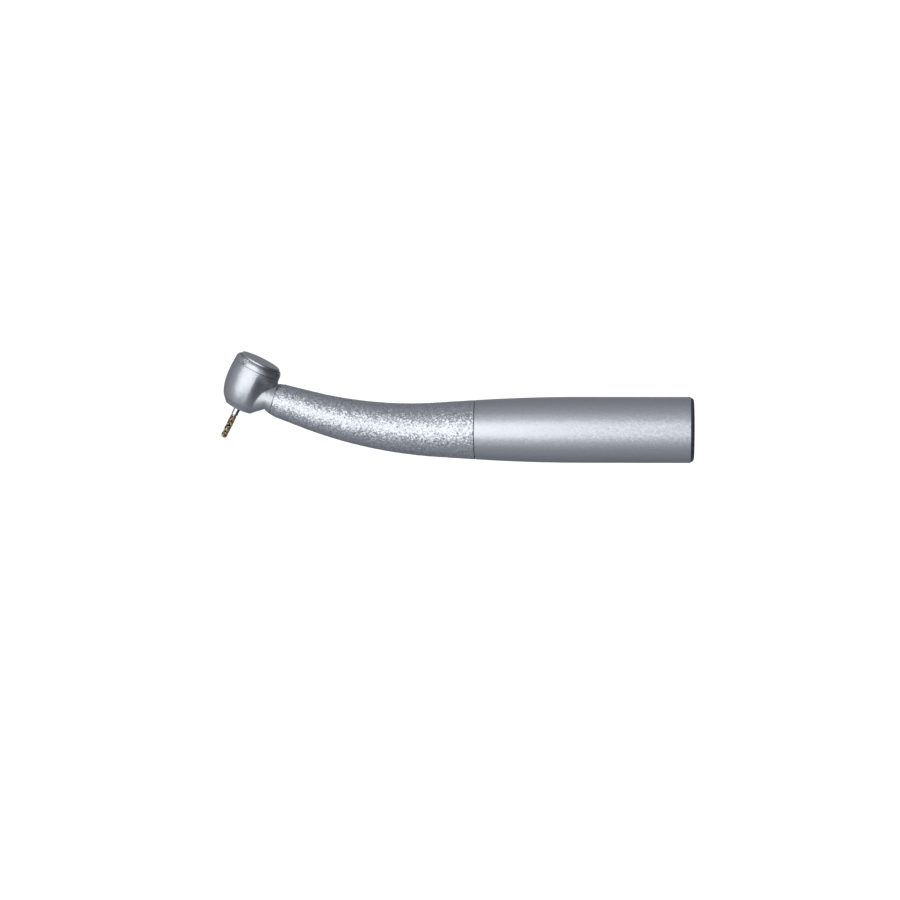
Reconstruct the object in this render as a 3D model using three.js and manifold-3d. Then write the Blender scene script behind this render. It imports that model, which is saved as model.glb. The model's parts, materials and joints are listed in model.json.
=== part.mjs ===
// A high-speed dental handpiece: an air turbine in a small tilted head, a neck, a curved
// grip sleeve, a straight rear sleeve and the socket that clicks onto a quick coupling.
// Millimetres, +Z up. The origin is the centre of the socket's mouth, +X points out of the
// tail along the handle, and the head lies towards -X. The shape is symmetric about Y = 0.
import * as THREE from 'three';
import { mergeVertices } from 'three/addons/utils/BufferGeometryUtils.js';
import Module from 'manifold-3d';

const wasm = await Module();
wasm.setup();

// ---------------------------------------------------------------- driving dimensions

// Handle, by distance from the tail face along the centreline.
const HANDLE_RADIUS = 8.0;
const STRAIGHT_LENGTH = 62.0;
const BEND_RADIUS = 105.0;
const BEND_ANGLE = THREE.MathUtils.degToRad(17.6);
const BLEND_START = 27.5;
const MID_SEAM = 52.9;
const MID_SEAM_RADIUS = 7.2;
const GRIP_TAPER = 2 * (HANDLE_RADIUS - MID_SEAM_RADIUS) / (MID_SEAM - BLEND_START);
const FRONT_SEAM = 102.7;
const FRONT_SEAM_RADIUS = 3.85;
const FRONT_ROUND_LENGTH = 1.5;
const FRONT_EDGE_SHOULDER = [3.94, 102.2];
const SEAM_GAP = 0.12;
const SLEEVE_WALL = 0.8;
const SLEEVE_BORE = 7.2;
const TAIL_EDGE = { start: 0.75, faceRadius: 7.88, shoulder: [7.97, 0.83], end: 0.95 };
const TAIL_BAND = { bore: 6.1, faceRadius: 7.2, shoulder: [7.6, 0.25], radius: 7.8, lip: 0.7, end: 3.0 };

// Joint between the sleeves, and the spigot that the grip sleeve screws onto.
const JOINT_BORE = 6.25;
const JOINT_TAPER_START = 34.0;
const JOINT_START = 47.0;
const JOINT_END = 58.2;
const JOINT_TAPER_END = 61.0;
const JOINT_RING_GAP = 0.3;
const JOINT_RING_RADIUS = 6.2;
const JOINT_RING_BORE = 5.5;
const NECK_SOCKET_RADIUS = 3.3;
const NECK_SOCKET_START = 96.5;
const SPIGOT_RADIUS = 3.2;
const SPIGOT_LENGTH = 5.2;
const NECK_BORE = 2.6;
const NECK_BORE_START = 4.3;

// Coupling socket.
const SOCKET_START = 3.1;
const MOUTH_RADIUS = 5.9;
const MOUTH_END = 8.0;
const SNAP_GROOVE = { radius: 6.35, start: 4.6, end: 5.7 };
const MAIN_BORE = 4.75;
const MAIN_BORE_END = 19.0;
const FRONT_BORE = 3.6;
const FRONT_BORE_END = 26.0;
const SOCKET_BODY_RADIUS = 7.14;
const SOCKET_BODY_STEP = 24.0;
const SOCKET_NOSE_RADIUS = 6.6;
const SOCKET_BODY_END = 29.0;

// Head, by height above its lower face along the bur's axis.
const HEAD_TILT = THREE.MathUtils.degToRad(27.2);
const SEAM_TO_HEAD_AXIS = 7.25;
const NECK_HEIGHT = 4.68;
const HEAD_BOTTOM_RADIUS = 3.3;
const HEAD_CHAMFER = { radius: 4.6, height: 1.5 };
const HEAD_BELLY = { radius: 6.03, bendStart: 3.9, height: 8.1, bendEnd: 9.4 };
const HEAD_RIM = { radius: 5.94, height: 10.6 };
const NECK_SIDE_BULGE = 0.055;
const NECK_SIDE_FADE = 2.4;
const NECK_SIDE_PINCH = { from: 1.2, to: 4.0, share: 0.12 };
const SPINDLE_HOLE = 2.0;
const FLOOR_TOP = 1.0;
const BEARING_SEAT = 3.3;
const ORING = { groove: 3.85, middle: 3.53, wire: 0.31, room: 0.9, frontMiddle: 2.6, rearMiddle: 8.4 };
const CHAMBER_RADIUS = 4.6;
const CHAMBER_FLOOR = 4.0;
const CHAMBER_TOP = 8.5;
const THREAD = { bore: 5.04, skirt: 4.98, skirtBore: 4.62, skirtBottom: 8.6, gap: 0.05 };

// Bearings: 3.175 mm bore, 6.35 mm outside, 2.38 mm wide, with ceramic balls.
const BEARING = { bore: 1.5875, outside: 3.175, width: 2.38, pitch: 2.38, ball: 0.49, groove: 0.55 };
const INNER_LAND = 2.03;
const OUTER_LAND = 2.72;
const CAGE = { inside: 2.12, outside: 2.64, halfHeight: 0.75, pocket: 0.54 };
const BALL_COUNT = 7;
const BEARING_BOTTOMS = { front: 1.4, rear: 7.2 };

// Rotor, chuck and button.
const SPINDLE = { radius: 1.55, bottom: 0.1, top: 9.6, chuckBore: 1.25, stepTop: 1.4 };
const SPINDLE_NOSE = { bore: 0.95, top: 0.9 };
const IMPELLER = { tip: 4.3, root: 2.7, bottom: 4.25, top: 6.85, bore: 1.58, blades: 12 };
const IMPELLER_HUB = { radius: 2.2, bottom: 3.83, top: 7.15 };
const COLLET = { inside: 0.86, outside: 1.19, bottom: 1.5, top: 6.4, slotTop: 4.7, slotWidth: 0.25 };
const PUSHER = { radius: 1.2, inside: 0.92, bottom: 7.7, underside: 9.7, top: 10.0 };
const CARRIER = { bore: 2.95, outside: 4.55, bottom: 6.97, lipTop: 7.12, top: 9.9 };
const CHUCK_SPRING = { radius: 1.07, wire: 0.09, turns: 3, gap: 0.05 };
const BUTTON = { radius: 5.1, bottom: 12.2, top: 12.85, chamfer: 0.25, boss: 1.85, bossEnd: 10.5 };
const BUTTON_PIN = { radius: 0.9, end: 10.3 };
const BUTTON_SPRING = { inside: 2.7, outside: 4.6, middle: 11.67, thickness: 0.15, rise: 0.35, waves: 3 };
const PRELOAD_WASHER = { inside: 2.2, outside: 3.1, middle: 1.2, thickness: 0.12, rise: 0.08, waves: 3 };
const CAP = { bore: 5.22, flangeTop: 11.13, flangeBottom: 10.83, top: 12.2, hole: 1.95 };
const CAP_EDGE = { sideTop: 11.3, shoulder: [5.84, 11.75], rim: 5.56 };

// Bur: 1.6 mm friction-grip shank.
const BUR = {
  shank: 0.8,
  top: 9.1,
  chamfer: 0.2,
  shankEnd: -2.0,
  cone: 0.15,
  neck: 0.6,
  gritStart: -2.4,
  step: 0.06,
  core: 0.5,
  coreShoulder: 0.6,
  coreTip: 0.35,
  tip: -8.35,
};
const GRIT_RADIUS = 0.7;
const GRIT_BORE_GAP = 0.05;

// Tubes and the light guide: radii, and the offset [side, up] from the centreline at the
// socket and in the neck.
const LINES = {
  drive_air_tube: { outside: 1.05, inside: 0.8, rear: [2.2, 0.8], front: [1.0, 0.85] },
  spray_air_tube: { outside: 0.5, inside: 0.33, rear: [-3.81, 2.67], front: [-1.15, 1.25] },
  water_tube: { outside: 0.5, inside: 0.33, rear: [-4.37, -1.59], front: [-1.7, 0] },
  light_guide_rod: { outside: 0.95, inside: 0, rear: [0, 0], front: [0, -1.35] },
};
const LINE_SHIFT_START = 44.0;
const LINE_SHIFT_END = 82.0;
const LINE_SOCKET_DEPTH = 2.0;
const LINE_CLEARANCE = 0.06;
const LINE_STEP = 6.0;
const NECK_CORE = { radius: 2.5, start: 98.5, end: 104.7 };
const LIGHT_ROD_END = 102.2;

// Facets round a turned piece.
const LARGE = 28;
const MEDIUM = 20;
const SMALL = 8;

// ---------------------------------------------------------------- solids and placing

const point = (radius, height) => new THREE.Vector2(radius, height);

// A solid turned about Z. The outline's points are [radius, height], outer side upwards.
function turned(outline, facets) {
  const points = outline.map((p) => (Array.isArray(p) ? point(p[0], p[1]) : p));
  const onAxis = points[0].x === 0 && points[points.length - 1].x === 0;
  const closed = onAxis ? points : [...points, points[0].clone()];
  return new THREE.LatheGeometry(closed, facets).rotateX(Math.PI / 2);
}

// A plain ring about Z.
function ring(inside, outside, bottom, top, facets) {
  return turned([[inside, bottom], [outside, bottom], [outside, top], [inside, top]], facets);
}

// A plain disc or rod about Z.
function rod(radius, bottom, top, facets) {
  return turned([[0, bottom], [radius, bottom], [radius, top], [0, top]], facets);
}

// An O-ring about Z.
function oRing(middle, wire, height, facets) {
  const sides = 6;
  const outline = [];
  for (let i = 0; i < sides; i += 1) {
    const angle = 2 * Math.PI * i / sides;
    outline.push([middle + wire * Math.cos(angle), height + wire * Math.sin(angle)]);
  }
  return turned(outline, facets);
}

// A geometry as a Manifold solid, with shared corners merged and needle triangles left out.
function solid(geometry) {
  const bare = geometry.clone();
  bare.deleteAttribute('normal');
  bare.deleteAttribute('uv');
  const merged = mergeVertices(bare, 1e-5);
  const corners = merged.index.array;
  const kept = [];
  for (let i = 0; i < corners.length; i += 3) {
    const [a, b, c] = corners.slice(i, i + 3);
    if (a !== b && b !== c && c !== a) {
      kept.push(a, b, c);
    }
  }
  return new wasm.Manifold(new wasm.Mesh({
    numProp: 3,
    vertProperties: new Float32Array(merged.attributes.position.array),
    triVerts: new Uint32Array(kept),
  }));
}

// A Manifold solid back as a geometry.
function geometryOf(body) {
  const mesh = body.getMesh();
  const geometry = new THREE.BufferGeometry();
  geometry.setAttribute('position', new THREE.BufferAttribute(mesh.vertProperties, 3));
  geometry.setIndex(new THREE.BufferAttribute(mesh.triVerts, 1));
  geometry.computeVertexNormals();
  return geometry;
}

// The first geometry with the others cut out of it.
function cut(geometry, cutters) {
  return geometryOf(cutters.reduce((body, cutter) => body.subtract(solid(cutter)), solid(geometry)));
}

// The handle's centreline at a distance from the tail: straight, an arc upwards, straight.
function centreline(distance) {
  const arcLength = BEND_RADIUS * BEND_ANGLE;
  const turn = THREE.MathUtils.clamp((distance - STRAIGHT_LENGTH) / BEND_RADIUS, 0, BEND_ANGLE);
  const before = Math.min(distance, STRAIGHT_LENGTH);
  const after = Math.max(distance - STRAIGHT_LENGTH - arcLength, 0);
  const x = -(before + BEND_RADIUS * Math.sin(turn) + after * Math.cos(turn));
  const z = BEND_RADIUS * (1 - Math.cos(turn)) + after * Math.sin(turn);
  return { turn, x, z };
}

// Bends a solid made along +Z, with Z as the distance from the tail, onto the centreline.
// X is sideways and Y is upwards.
function alongHandle(geometry) {
  const position = geometry.attributes.position;
  for (let i = 0; i < position.count; i += 1) {
    const axis = centreline(position.getZ(i));
    const up = position.getY(i);
    const x = axis.x + up * Math.sin(axis.turn);
    const z = axis.z + up * Math.cos(axis.turn);
    position.setXYZ(i, x, -position.getX(i), z);
  }
  return geometry;
}

// Turns a group so that its X, Y and Z axes point the three given ways.
function aim(group, xAxis, yAxis, zAxis) {
  group.quaternion.setFromRotationMatrix(new THREE.Matrix4().makeBasis(xAxis, yAxis, zAxis));
  return group;
}

// Places a solid made along the neck, with Z as the distance from the head's axis, in the
// head's own frame. X is sideways and Y is upwards.
function alongNeck(geometry) {
  const rise = HEAD_TILT - BEND_ANGLE;
  const sideways = new THREE.Vector3(0, 1, 0);
  const upwards = new THREE.Vector3(-Math.sin(rise), 0, Math.cos(rise));
  const outwards = new THREE.Vector3(Math.cos(rise), 0, Math.sin(rise));
  const place = new THREE.Matrix4().makeBasis(sideways, upwards, outwards);
  place.setPosition(0, 0, NECK_HEIGHT);
  return geometry.applyMatrix4(place);
}

// ---------------------------------------------------------------- head shell

// The barrel's outer side from its lower face to the rim, as outline points.
function barrelSide() {
  const side = new THREE.Path();
  side.moveTo(HEAD_CHAMFER.radius, HEAD_CHAMFER.height);
  side.quadraticCurveTo(HEAD_BELLY.radius, HEAD_BELLY.bendStart, HEAD_BELLY.radius, HEAD_BELLY.height);
  side.quadraticCurveTo(HEAD_BELLY.radius, HEAD_BELLY.bendEnd, HEAD_RIM.radius, HEAD_RIM.height);
  return [point(HEAD_BOTTOM_RADIUS, 0), ...side.getPoints(4)];
}

// The head's barrel. Its neck side reaches out a little and draws in to meet the neck, and
// both fade back to round at the rim.
function barrel() {
  const geometry = turned([[0, 0], ...barrelSide(), [0, HEAD_RIM.height]], LARGE);
  const position = geometry.attributes.position;
  for (let i = 0; i < position.count; i += 1) {
    const fade = THREE.MathUtils.smoothstep(HEAD_RIM.height - position.getZ(i), 0, NECK_SIDE_FADE);
    const swell = 1 + NECK_SIDE_BULGE * fade;
    const x = Math.max(position.getX(i), position.getX(i) * swell);
    const nearNeck = THREE.MathUtils.smoothstep(x, NECK_SIDE_PINCH.from, NECK_SIDE_PINCH.to);
    position.setX(i, x);
    position.setY(i, position.getY(i) * (1 - NECK_SIDE_PINCH.share * fade * nearNeck));
  }
  return geometry;
}

// The neck outside, as stations along it: distance from the head's axis, half width, the
// reach above and below its own axis, and the power of its outline. The outline is round at
// the seam (power 2) and squarer where the neck flares into the head.
const NECK_STATIONS = [
  { at: 2.6, side: 4.22, above: 4.7, below: 4.3, power: 2.3 },
  { at: 3.5, side: 4.16, above: 4.5, below: 4.25, power: 2.3 },
  { at: 4.6, side: 4.06, above: 4.25, below: 3.8, power: 2.2 },
  { at: 5.1, side: 4.02, above: 4.0, below: 3.45, power: 2.15 },
  { at: 5.6, side: 3.98, above: 3.88, below: 3.1, power: 2.1 },
  { at: 6.3, side: 3.93, above: 3.82, below: 3.5, power: 2.05 },
  { at: SEAM_TO_HEAD_AXIS - SEAM_GAP / 2, side: 3.85, above: 3.85, below: 3.8, power: 2 },
];

function neckStub() {
  const outline = NECK_STATIONS.map((station) => [1, station.at]);
  const first = NECK_STATIONS[0];
  const last = NECK_STATIONS[NECK_STATIONS.length - 1];
  const geometry = turned([[0, first.at], ...outline, [0, last.at]], LARGE);
  const position = geometry.attributes.position;
  for (let i = 0; i < position.count; i += 1) {
    const station = NECK_STATIONS.find((entry) => Math.abs(entry.at - position.getZ(i)) < 1e-4);
    const across = position.getX(i);
    const up = position.getY(i);
    const powers = Math.abs(across) ** station.power + Math.abs(up) ** station.power;
    const stretch = powers > 0 ? powers ** (-1 / station.power) : 0;
    position.setX(i, across * stretch * station.side);
    position.setY(i, up * stretch * (up > 0 ? station.above : station.below));
  }
  return alongNeck(geometry);
}

// The spigot behind the neck, with a groove for its O-ring.
const SPIGOT_GROOVE = { radius: 2.92, start: 8.4, end: 8.9 };
const NECK_ORING = {
  middle: 3.1,
  wire: 0.16,
  distance: FRONT_SEAM + SEAM_TO_HEAD_AXIS - (SPIGOT_GROOVE.start + SPIGOT_GROOVE.end) / 2,
};

function neckSpigot() {
  const start = SEAM_TO_HEAD_AXIS - 1;
  const end = SEAM_TO_HEAD_AXIS + SPIGOT_LENGTH;
  return alongNeck(turned([
    [0, start],
    [SPIGOT_RADIUS, start],
    [SPIGOT_RADIUS, SPIGOT_GROOVE.start],
    [SPIGOT_GROOVE.radius, SPIGOT_GROOVE.start],
    [SPIGOT_GROOVE.radius, SPIGOT_GROOVE.end],
    [SPIGOT_RADIUS, SPIGOT_GROOVE.end],
    [SPIGOT_RADIUS, end],
    [0, end],
  ], LARGE));
}

// Outline points of the groove for a bearing's O-ring, going up (way 1) or down (way -1).
function oRingGroove(middle, way) {
  const start = middle - way * ORING.room / 2;
  const end = middle + way * ORING.room / 2;
  return [[BEARING_SEAT, start], [ORING.groove, start], [ORING.groove, end], [BEARING_SEAT, end]];
}

// The room inside the head: spindle hole, front bearing seat, turbine chamber and thread.
function headRoom() {
  const over = 1;
  return turned([
    [0, -over],
    [SPINDLE_HOLE, -over],
    [SPINDLE_HOLE, FLOOR_TOP],
    [BEARING_SEAT, FLOOR_TOP],
    ...oRingGroove(ORING.frontMiddle, 1),
    [BEARING_SEAT, CHAMBER_FLOOR],
    [CHAMBER_RADIUS, CHAMBER_FLOOR],
    [CHAMBER_RADIUS, CHAMBER_TOP],
    [THREAD.bore, CHAMBER_TOP],
    [THREAD.bore, HEAD_RIM.height + over],
    [0, HEAD_RIM.height + over],
  ], LARGE);
}

// The light window's axis leans towards the bur from inside the neck to its underside.
const WINDOW = { radius: 0.75, length: 1.5, at: 6.72, down: 2.83, lean: 0.41 };

function windowRod(radius, bottom, top) {
  const geometry = rod(radius, bottom, top, SMALL);
  geometry.rotateX(Math.PI / 2 + WINDOW.lean);
  geometry.translate(0, -WINDOW.down, WINDOW.at);
  return alongNeck(geometry);
}

// Spray outlets in the lower face, round the bur.
const SPRAY = { count: 4, radius: 0.25, circle: 2.62, depth: 0.6 };

function sprayOutlets() {
  const outlets = [];
  for (let i = 0; i < SPRAY.count; i += 1) {
    const angle = 2 * Math.PI * (i + 0.5) / SPRAY.count;
    const outlet = rod(SPRAY.radius, -1, SPRAY.depth, 8);
    outlet.translate(SPRAY.circle * Math.cos(angle), SPRAY.circle * Math.sin(angle), 0);
    outlets.push(outlet);
  }
  return outlets;
}

function headHousing() {
  const outside = solid(barrel()).add(solid(neckStub())).add(solid(neckSpigot()));
  const boreEnd = SEAM_TO_HEAD_AXIS + SPIGOT_LENGTH + 1;
  const bore = alongNeck(rod(NECK_BORE, NECK_BORE_START, boreEnd, MEDIUM));
  const window = windowRod(WINDOW.radius + LINE_CLEARANCE, -WINDOW.length, WINDOW.length);
  return cut(geometryOf(outside), [headRoom(), bore, window, ...sprayOutlets()]);
}

// A wrench notch in the cap ring, U-shaped as seen from the side.
const NOTCH = { count: 3, width: 1.3, height: 1.4, floor: 5.42, depth: 2 };

function wrenchNotch() {
  const half = NOTCH.width / 2;
  const middle = CAP.top - NOTCH.height + half;
  const shape = new THREE.Shape();
  shape.moveTo(-half, middle);
  shape.absarc(0, middle, half, Math.PI, 2 * Math.PI, false);
  shape.lineTo(half, CAP.top + 1);
  shape.lineTo(-half, CAP.top + 1);
  shape.closePath();
  const options = { depth: NOTCH.depth, bevelEnabled: false, curveSegments: 8 };
  const geometry = new THREE.ExtrudeGeometry(shape, options);
  const sideways = new THREE.Vector3(0, 1, 0);
  const upwards = new THREE.Vector3(0, 0, 1);
  const outwards = new THREE.Vector3(1, 0, 0);
  geometry.applyMatrix4(new THREE.Matrix4().makeBasis(sideways, upwards, outwards));
  return geometry.translate(NOTCH.floor, 0, 0);
}

// The cap ring: a threaded skirt, a flange under the button and three wrench notches.
function headCap() {
  const seam = HEAD_RIM.height + THREAD.gap;
  const body = turned([
    [THREAD.skirtBore, THREAD.skirtBottom],
    [THREAD.skirt, THREAD.skirtBottom],
    [THREAD.skirt, seam],
    [HEAD_RIM.radius, seam],
    [HEAD_RIM.radius, CAP_EDGE.sideTop],
    CAP_EDGE.shoulder,
    [CAP_EDGE.rim, CAP.top],
    [CAP.bore, CAP.top],
    [CAP.bore, CAP.flangeTop],
    [CAP.hole, CAP.flangeTop],
    [CAP.hole, CAP.flangeBottom],
    [THREAD.skirtBore, CAP.flangeBottom],
  ], LARGE);
  const notches = [];
  for (let i = 0; i < NOTCH.count; i += 1) {
    notches.push(wrenchNotch().rotateZ(2 * Math.PI * i / NOTCH.count));
  }
  return cut(body, notches);
}

// ---------------------------------------------------------------- button and its parts

// The open clip in the button's groove, under the cap's flange.
const CLIP = { inside: 1.55, outside: 2.5, bottom: 10.57, top: 10.73, opening: Math.PI / 3 };
const CLIP_GROOVE = { radius: 1.5, gap: 0.02 };

function pushButton() {
  return turned([
    [0, BUTTON_PIN.end],
    [BUTTON_PIN.radius, BUTTON_PIN.end],
    [BUTTON_PIN.radius, BUTTON.bossEnd],
    [BUTTON.boss, BUTTON.bossEnd],
    [BUTTON.boss, CLIP.bottom - CLIP_GROOVE.gap],
    [CLIP_GROOVE.radius, CLIP.bottom - CLIP_GROOVE.gap],
    [CLIP_GROOVE.radius, CLIP.top + CLIP_GROOVE.gap],
    [BUTTON.boss, CLIP.top + CLIP_GROOVE.gap],
    [BUTTON.boss, BUTTON.bottom],
    [BUTTON.radius, BUTTON.bottom],
    [BUTTON.radius, BUTTON.top - BUTTON.chamfer],
    [BUTTON.radius - BUTTON.chamfer, BUTTON.top],
    [0, BUTTON.top],
  ], LARGE);
}

// An open ring in the XY plane, from one height to another.
function openRing(inside, outside, bottom, top, opening, facets) {
  const shape = new THREE.Shape();
  shape.absarc(0, 0, outside, opening / 2, 2 * Math.PI - opening / 2, false);
  shape.absarc(0, 0, inside, 2 * Math.PI - opening / 2, opening / 2, true);
  const options = { depth: top - bottom, bevelEnabled: false, curveSegments: facets / 2 };
  return new THREE.ExtrudeGeometry(shape, options).translate(0, 0, bottom);
}

function buttonClip() {
  return openRing(CLIP.inside, CLIP.outside, CLIP.bottom, CLIP.top, CLIP.opening, MEDIUM);
}

// A wave washer: a flat ring whose height rises and falls round it.
function waveWasher({ inside, outside, middle, thickness, rise, waves }) {
  const geometry = ring(inside, outside, middle - thickness / 2, middle + thickness / 2, LARGE);
  const position = geometry.attributes.position;
  for (let i = 0; i < position.count; i += 1) {
    const angle = Math.atan2(position.getY(i), position.getX(i));
    position.setZ(i, position.getZ(i) + rise * Math.cos(waves * angle));
  }
  return geometry;
}

// ---------------------------------------------------------------- bearings

// Points of a ball groove's arc, in an outline: from one angle to another about the ball.
function grooveArc(height, fromAngle, toAngle) {
  const steps = 3;
  const points = [];
  for (let i = 0; i <= steps; i += 1) {
    const angle = THREE.MathUtils.lerp(fromAngle, toAngle, i / steps);
    const radius = BEARING.pitch + BEARING.groove * Math.cos(angle);
    points.push([radius, height + BEARING.groove * Math.sin(angle)]);
  }
  return points;
}

function outerRace(bottom) {
  const top = bottom + BEARING.width;
  const middle = bottom + BEARING.width / 2;
  const reach = Math.acos((OUTER_LAND - BEARING.pitch) / BEARING.groove);
  return turned([
    [OUTER_LAND, bottom],
    [BEARING.outside, bottom],
    [BEARING.outside, top],
    [OUTER_LAND, top],
    ...grooveArc(middle, reach, -reach),
  ], MEDIUM);
}

function innerRace(bottom) {
  const top = bottom + BEARING.width;
  const middle = bottom + BEARING.width / 2;
  const reach = Math.acos((BEARING.pitch - INNER_LAND) / BEARING.groove);
  return turned([
    [BEARING.bore, bottom],
    [INNER_LAND, bottom],
    ...grooveArc(middle, Math.PI + reach, Math.PI - reach),
    [INNER_LAND, top],
    [BEARING.bore, top],
  ], MEDIUM);
}

// Angles of the balls round the bearing.
function ballAngles() {
  return Array.from({ length: BALL_COUNT }, (_, i) => 2 * Math.PI * i / BALL_COUNT);
}

function bearingCage(bottom) {
  const middle = bottom + BEARING.width / 2;
  const body = ring(CAGE.inside, CAGE.outside, middle - CAGE.halfHeight, middle + CAGE.halfHeight, MEDIUM);
  const pockets = ballAngles().map((angle) => {
    const pocket = rod(CAGE.pocket, -1, 1, SMALL);
    pocket.rotateY(Math.PI / 2);
    pocket.translate(BEARING.pitch, 0, middle);
    return pocket.rotateZ(angle);
  });
  return cut(body, pockets);
}

function bearingBall(angle, bottom) {
  const ball = new THREE.SphereGeometry(BEARING.ball, 8, 6);
  return ball.translate(BEARING.pitch, 0, bottom + BEARING.width / 2).rotateZ(angle);
}

function rearBearingCarrier() {
  return turned([
    [CARRIER.bore, CARRIER.bottom],
    [CARRIER.outside, CARRIER.bottom],
    [CARRIER.outside, CARRIER.top],
    [BEARING_SEAT, CARRIER.top],
    ...oRingGroove(ORING.rearMiddle, -1),
    [BEARING_SEAT, CARRIER.lipTop],
    [CARRIER.bore, CARRIER.lipTop],
  ], LARGE);
}

// ---------------------------------------------------------------- rotor, chuck and bur

function rotorSpindle() {
  return turned([
    [SPINDLE_NOSE.bore, SPINDLE.bottom],
    [SPINDLE.radius, SPINDLE.bottom],
    [SPINDLE.radius, SPINDLE.top],
    [SPINDLE.chuckBore, SPINDLE.top],
    [SPINDLE.chuckBore, SPINDLE.stepTop],
    [SPINDLE_NOSE.bore, SPINDLE_NOSE.top],
  ], MEDIUM);
}

// One blade of the impeller, as [radius, angle in degrees] points from root to root.
const BLADE_MIDDLE = (IMPELLER.root + IMPELLER.tip) / 2;
const BLADE = [
  [IMPELLER.root, -8],
  [BLADE_MIDDLE, -5.5],
  [IMPELLER.tip, 0],
  [IMPELLER.tip, 4.5],
  [BLADE_MIDDLE, 2],
  [IMPELLER.root, 6],
];

function turbineImpeller() {
  const outline = [];
  for (let i = 0; i < IMPELLER.blades; i += 1) {
    for (const [radius, degrees] of BLADE) {
      const angle = 2 * Math.PI * i / IMPELLER.blades + THREE.MathUtils.degToRad(degrees);
      outline.push(point(radius * Math.cos(angle), radius * Math.sin(angle)));
    }
  }
  const options = { depth: IMPELLER.top - IMPELLER.bottom, bevelEnabled: false };
  const blades = new THREE.ExtrudeGeometry(new THREE.Shape(outline), options);
  blades.translate(0, 0, IMPELLER.bottom);
  const hub = rod(IMPELLER_HUB.radius, IMPELLER_HUB.bottom, IMPELLER_HUB.top, MEDIUM);
  const bore = rod(IMPELLER.bore, IMPELLER_HUB.bottom - 1, IMPELLER_HUB.top + 1, MEDIUM);
  return cut(geometryOf(solid(blades).add(solid(hub))), [bore]);
}

function chuckCollet() {
  const body = ring(COLLET.inside, COLLET.outside, COLLET.bottom, COLLET.top, MEDIUM);
  const slots = [0, 1, 2].map((i) => {
    const height = COLLET.slotTop - COLLET.bottom + 1;
    const slot = new THREE.BoxGeometry(2, COLLET.slotWidth, height);
    slot.translate(1, 0, COLLET.slotTop - height / 2);
    return slot.rotateZ(2 * Math.PI * (i + 0.05) / 3);
  });
  return cut(body, slots);
}

class Helix extends THREE.Curve {
  constructor(radius, bottom, top, turns) {
    super();
    Object.assign(this, { radius, bottom, top, turns });
  }

  getPoint(t, target = new THREE.Vector3()) {
    const angle = 2 * Math.PI * this.turns * t;
    const height = THREE.MathUtils.lerp(this.bottom, this.top, t);
    return target.set(this.radius * Math.cos(angle), this.radius * Math.sin(angle), height);
  }
}

// The small spring between the collet and the pusher.
function chuckSpring() {
  const { radius, wire, turns, gap } = CHUCK_SPRING;
  const section = new THREE.Shape().absarc(0, 0, wire, 0, 2 * Math.PI, false);
  const path = new Helix(radius, COLLET.top + wire + gap, PUSHER.bottom - wire - gap, turns);
  const options = { steps: turns * SMALL, bevelEnabled: false, curveSegments: 3, extrudePath: path };
  return new THREE.ExtrudeGeometry(section, options);
}

function chuckPusher() {
  return turned([
    [0, PUSHER.underside],
    [PUSHER.inside, PUSHER.underside],
    [PUSHER.inside, PUSHER.bottom],
    [PUSHER.radius, PUSHER.bottom],
    [PUSHER.radius, PUSHER.top],
    [0, PUSHER.top],
  ], MEDIUM);
}

// The bur's steel blank: shank, waist, and the core under the grit.
function burShank() {
  return turned([
    [0, BUR.tip + BUR.coreTip],
    [BUR.core, BUR.tip + BUR.coreShoulder],
    [BUR.core, BUR.gritStart],
    [BUR.neck, BUR.gritStart + BUR.step],
    [BUR.neck, BUR.shankEnd - BUR.cone],
    [BUR.shank, BUR.shankEnd],
    [BUR.shank, BUR.top - BUR.chamfer],
    [BUR.shank - BUR.chamfer, BUR.top],
    [0, BUR.top],
  ], MEDIUM);
}

// The diamond grit, a thimble over the core with a round end.
function burDiamondCoating() {
  const roundEnd = new THREE.Path();
  roundEnd.absarc(0, BUR.tip + GRIT_RADIUS, GRIT_RADIUS, -Math.PI / 2, 0, false);
  const inner = BUR.core + GRIT_BORE_GAP;
  return turned([
    [0, BUR.tip],
    ...roundEnd.getPoints(5).slice(1),
    [GRIT_RADIUS, BUR.gritStart],
    [inner, BUR.gritStart],
    [inner, BUR.tip + BUR.coreShoulder - 0.08],
    [0, BUR.tip + BUR.coreTip - 0.1],
  ], MEDIUM);
}

// ---------------------------------------------------------------- handle sleeves

// Outer radius of the handle at a distance from the tail: a cylinder, a long arc that
// eases into the taper, then the taper.
function handleRadius(distance) {
  if (distance < BLEND_START) {
    return HANDLE_RADIUS;
  }
  if (distance < MID_SEAM) {
    return HANDLE_RADIUS - GRIP_TAPER * (distance - BLEND_START) ** 2 / (2 * (MID_SEAM - BLEND_START));
  }
  return MID_SEAM_RADIUS - GRIP_TAPER * (distance - MID_SEAM);
}

// Outline points along a stretch of the handle, evenly spaced, a given depth under its skin.
function skin(from, to, depth, steps) {
  const points = [];
  for (let i = 0; i <= steps; i += 1) {
    const distance = THREE.MathUtils.lerp(from, to, i / steps);
    points.push([handleRadius(distance) - depth, distance]);
  }
  return points;
}

// Outline points along a cylinder, evenly spaced so that it can be bent.
function tube(radius, from, to, steps) {
  const points = [];
  for (let i = 0; i <= steps; i += 1) {
    points.push([radius, THREE.MathUtils.lerp(from, to, i / steps)]);
  }
  return points;
}

function rearSleeve() {
  const end = MID_SEAM - SEAM_GAP / 2;
  return turned([
    [SLEEVE_BORE, TAIL_EDGE.start],
    [TAIL_EDGE.faceRadius, TAIL_EDGE.start],
    TAIL_EDGE.shoulder,
    [HANDLE_RADIUS, TAIL_EDGE.end],
    ...skin(BLEND_START, end, 0, 5),
    [JOINT_BORE, end],
    [JOINT_BORE, JOINT_START],
    [SLEEVE_BORE, JOINT_TAPER_START],
  ], LARGE);
}

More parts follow.
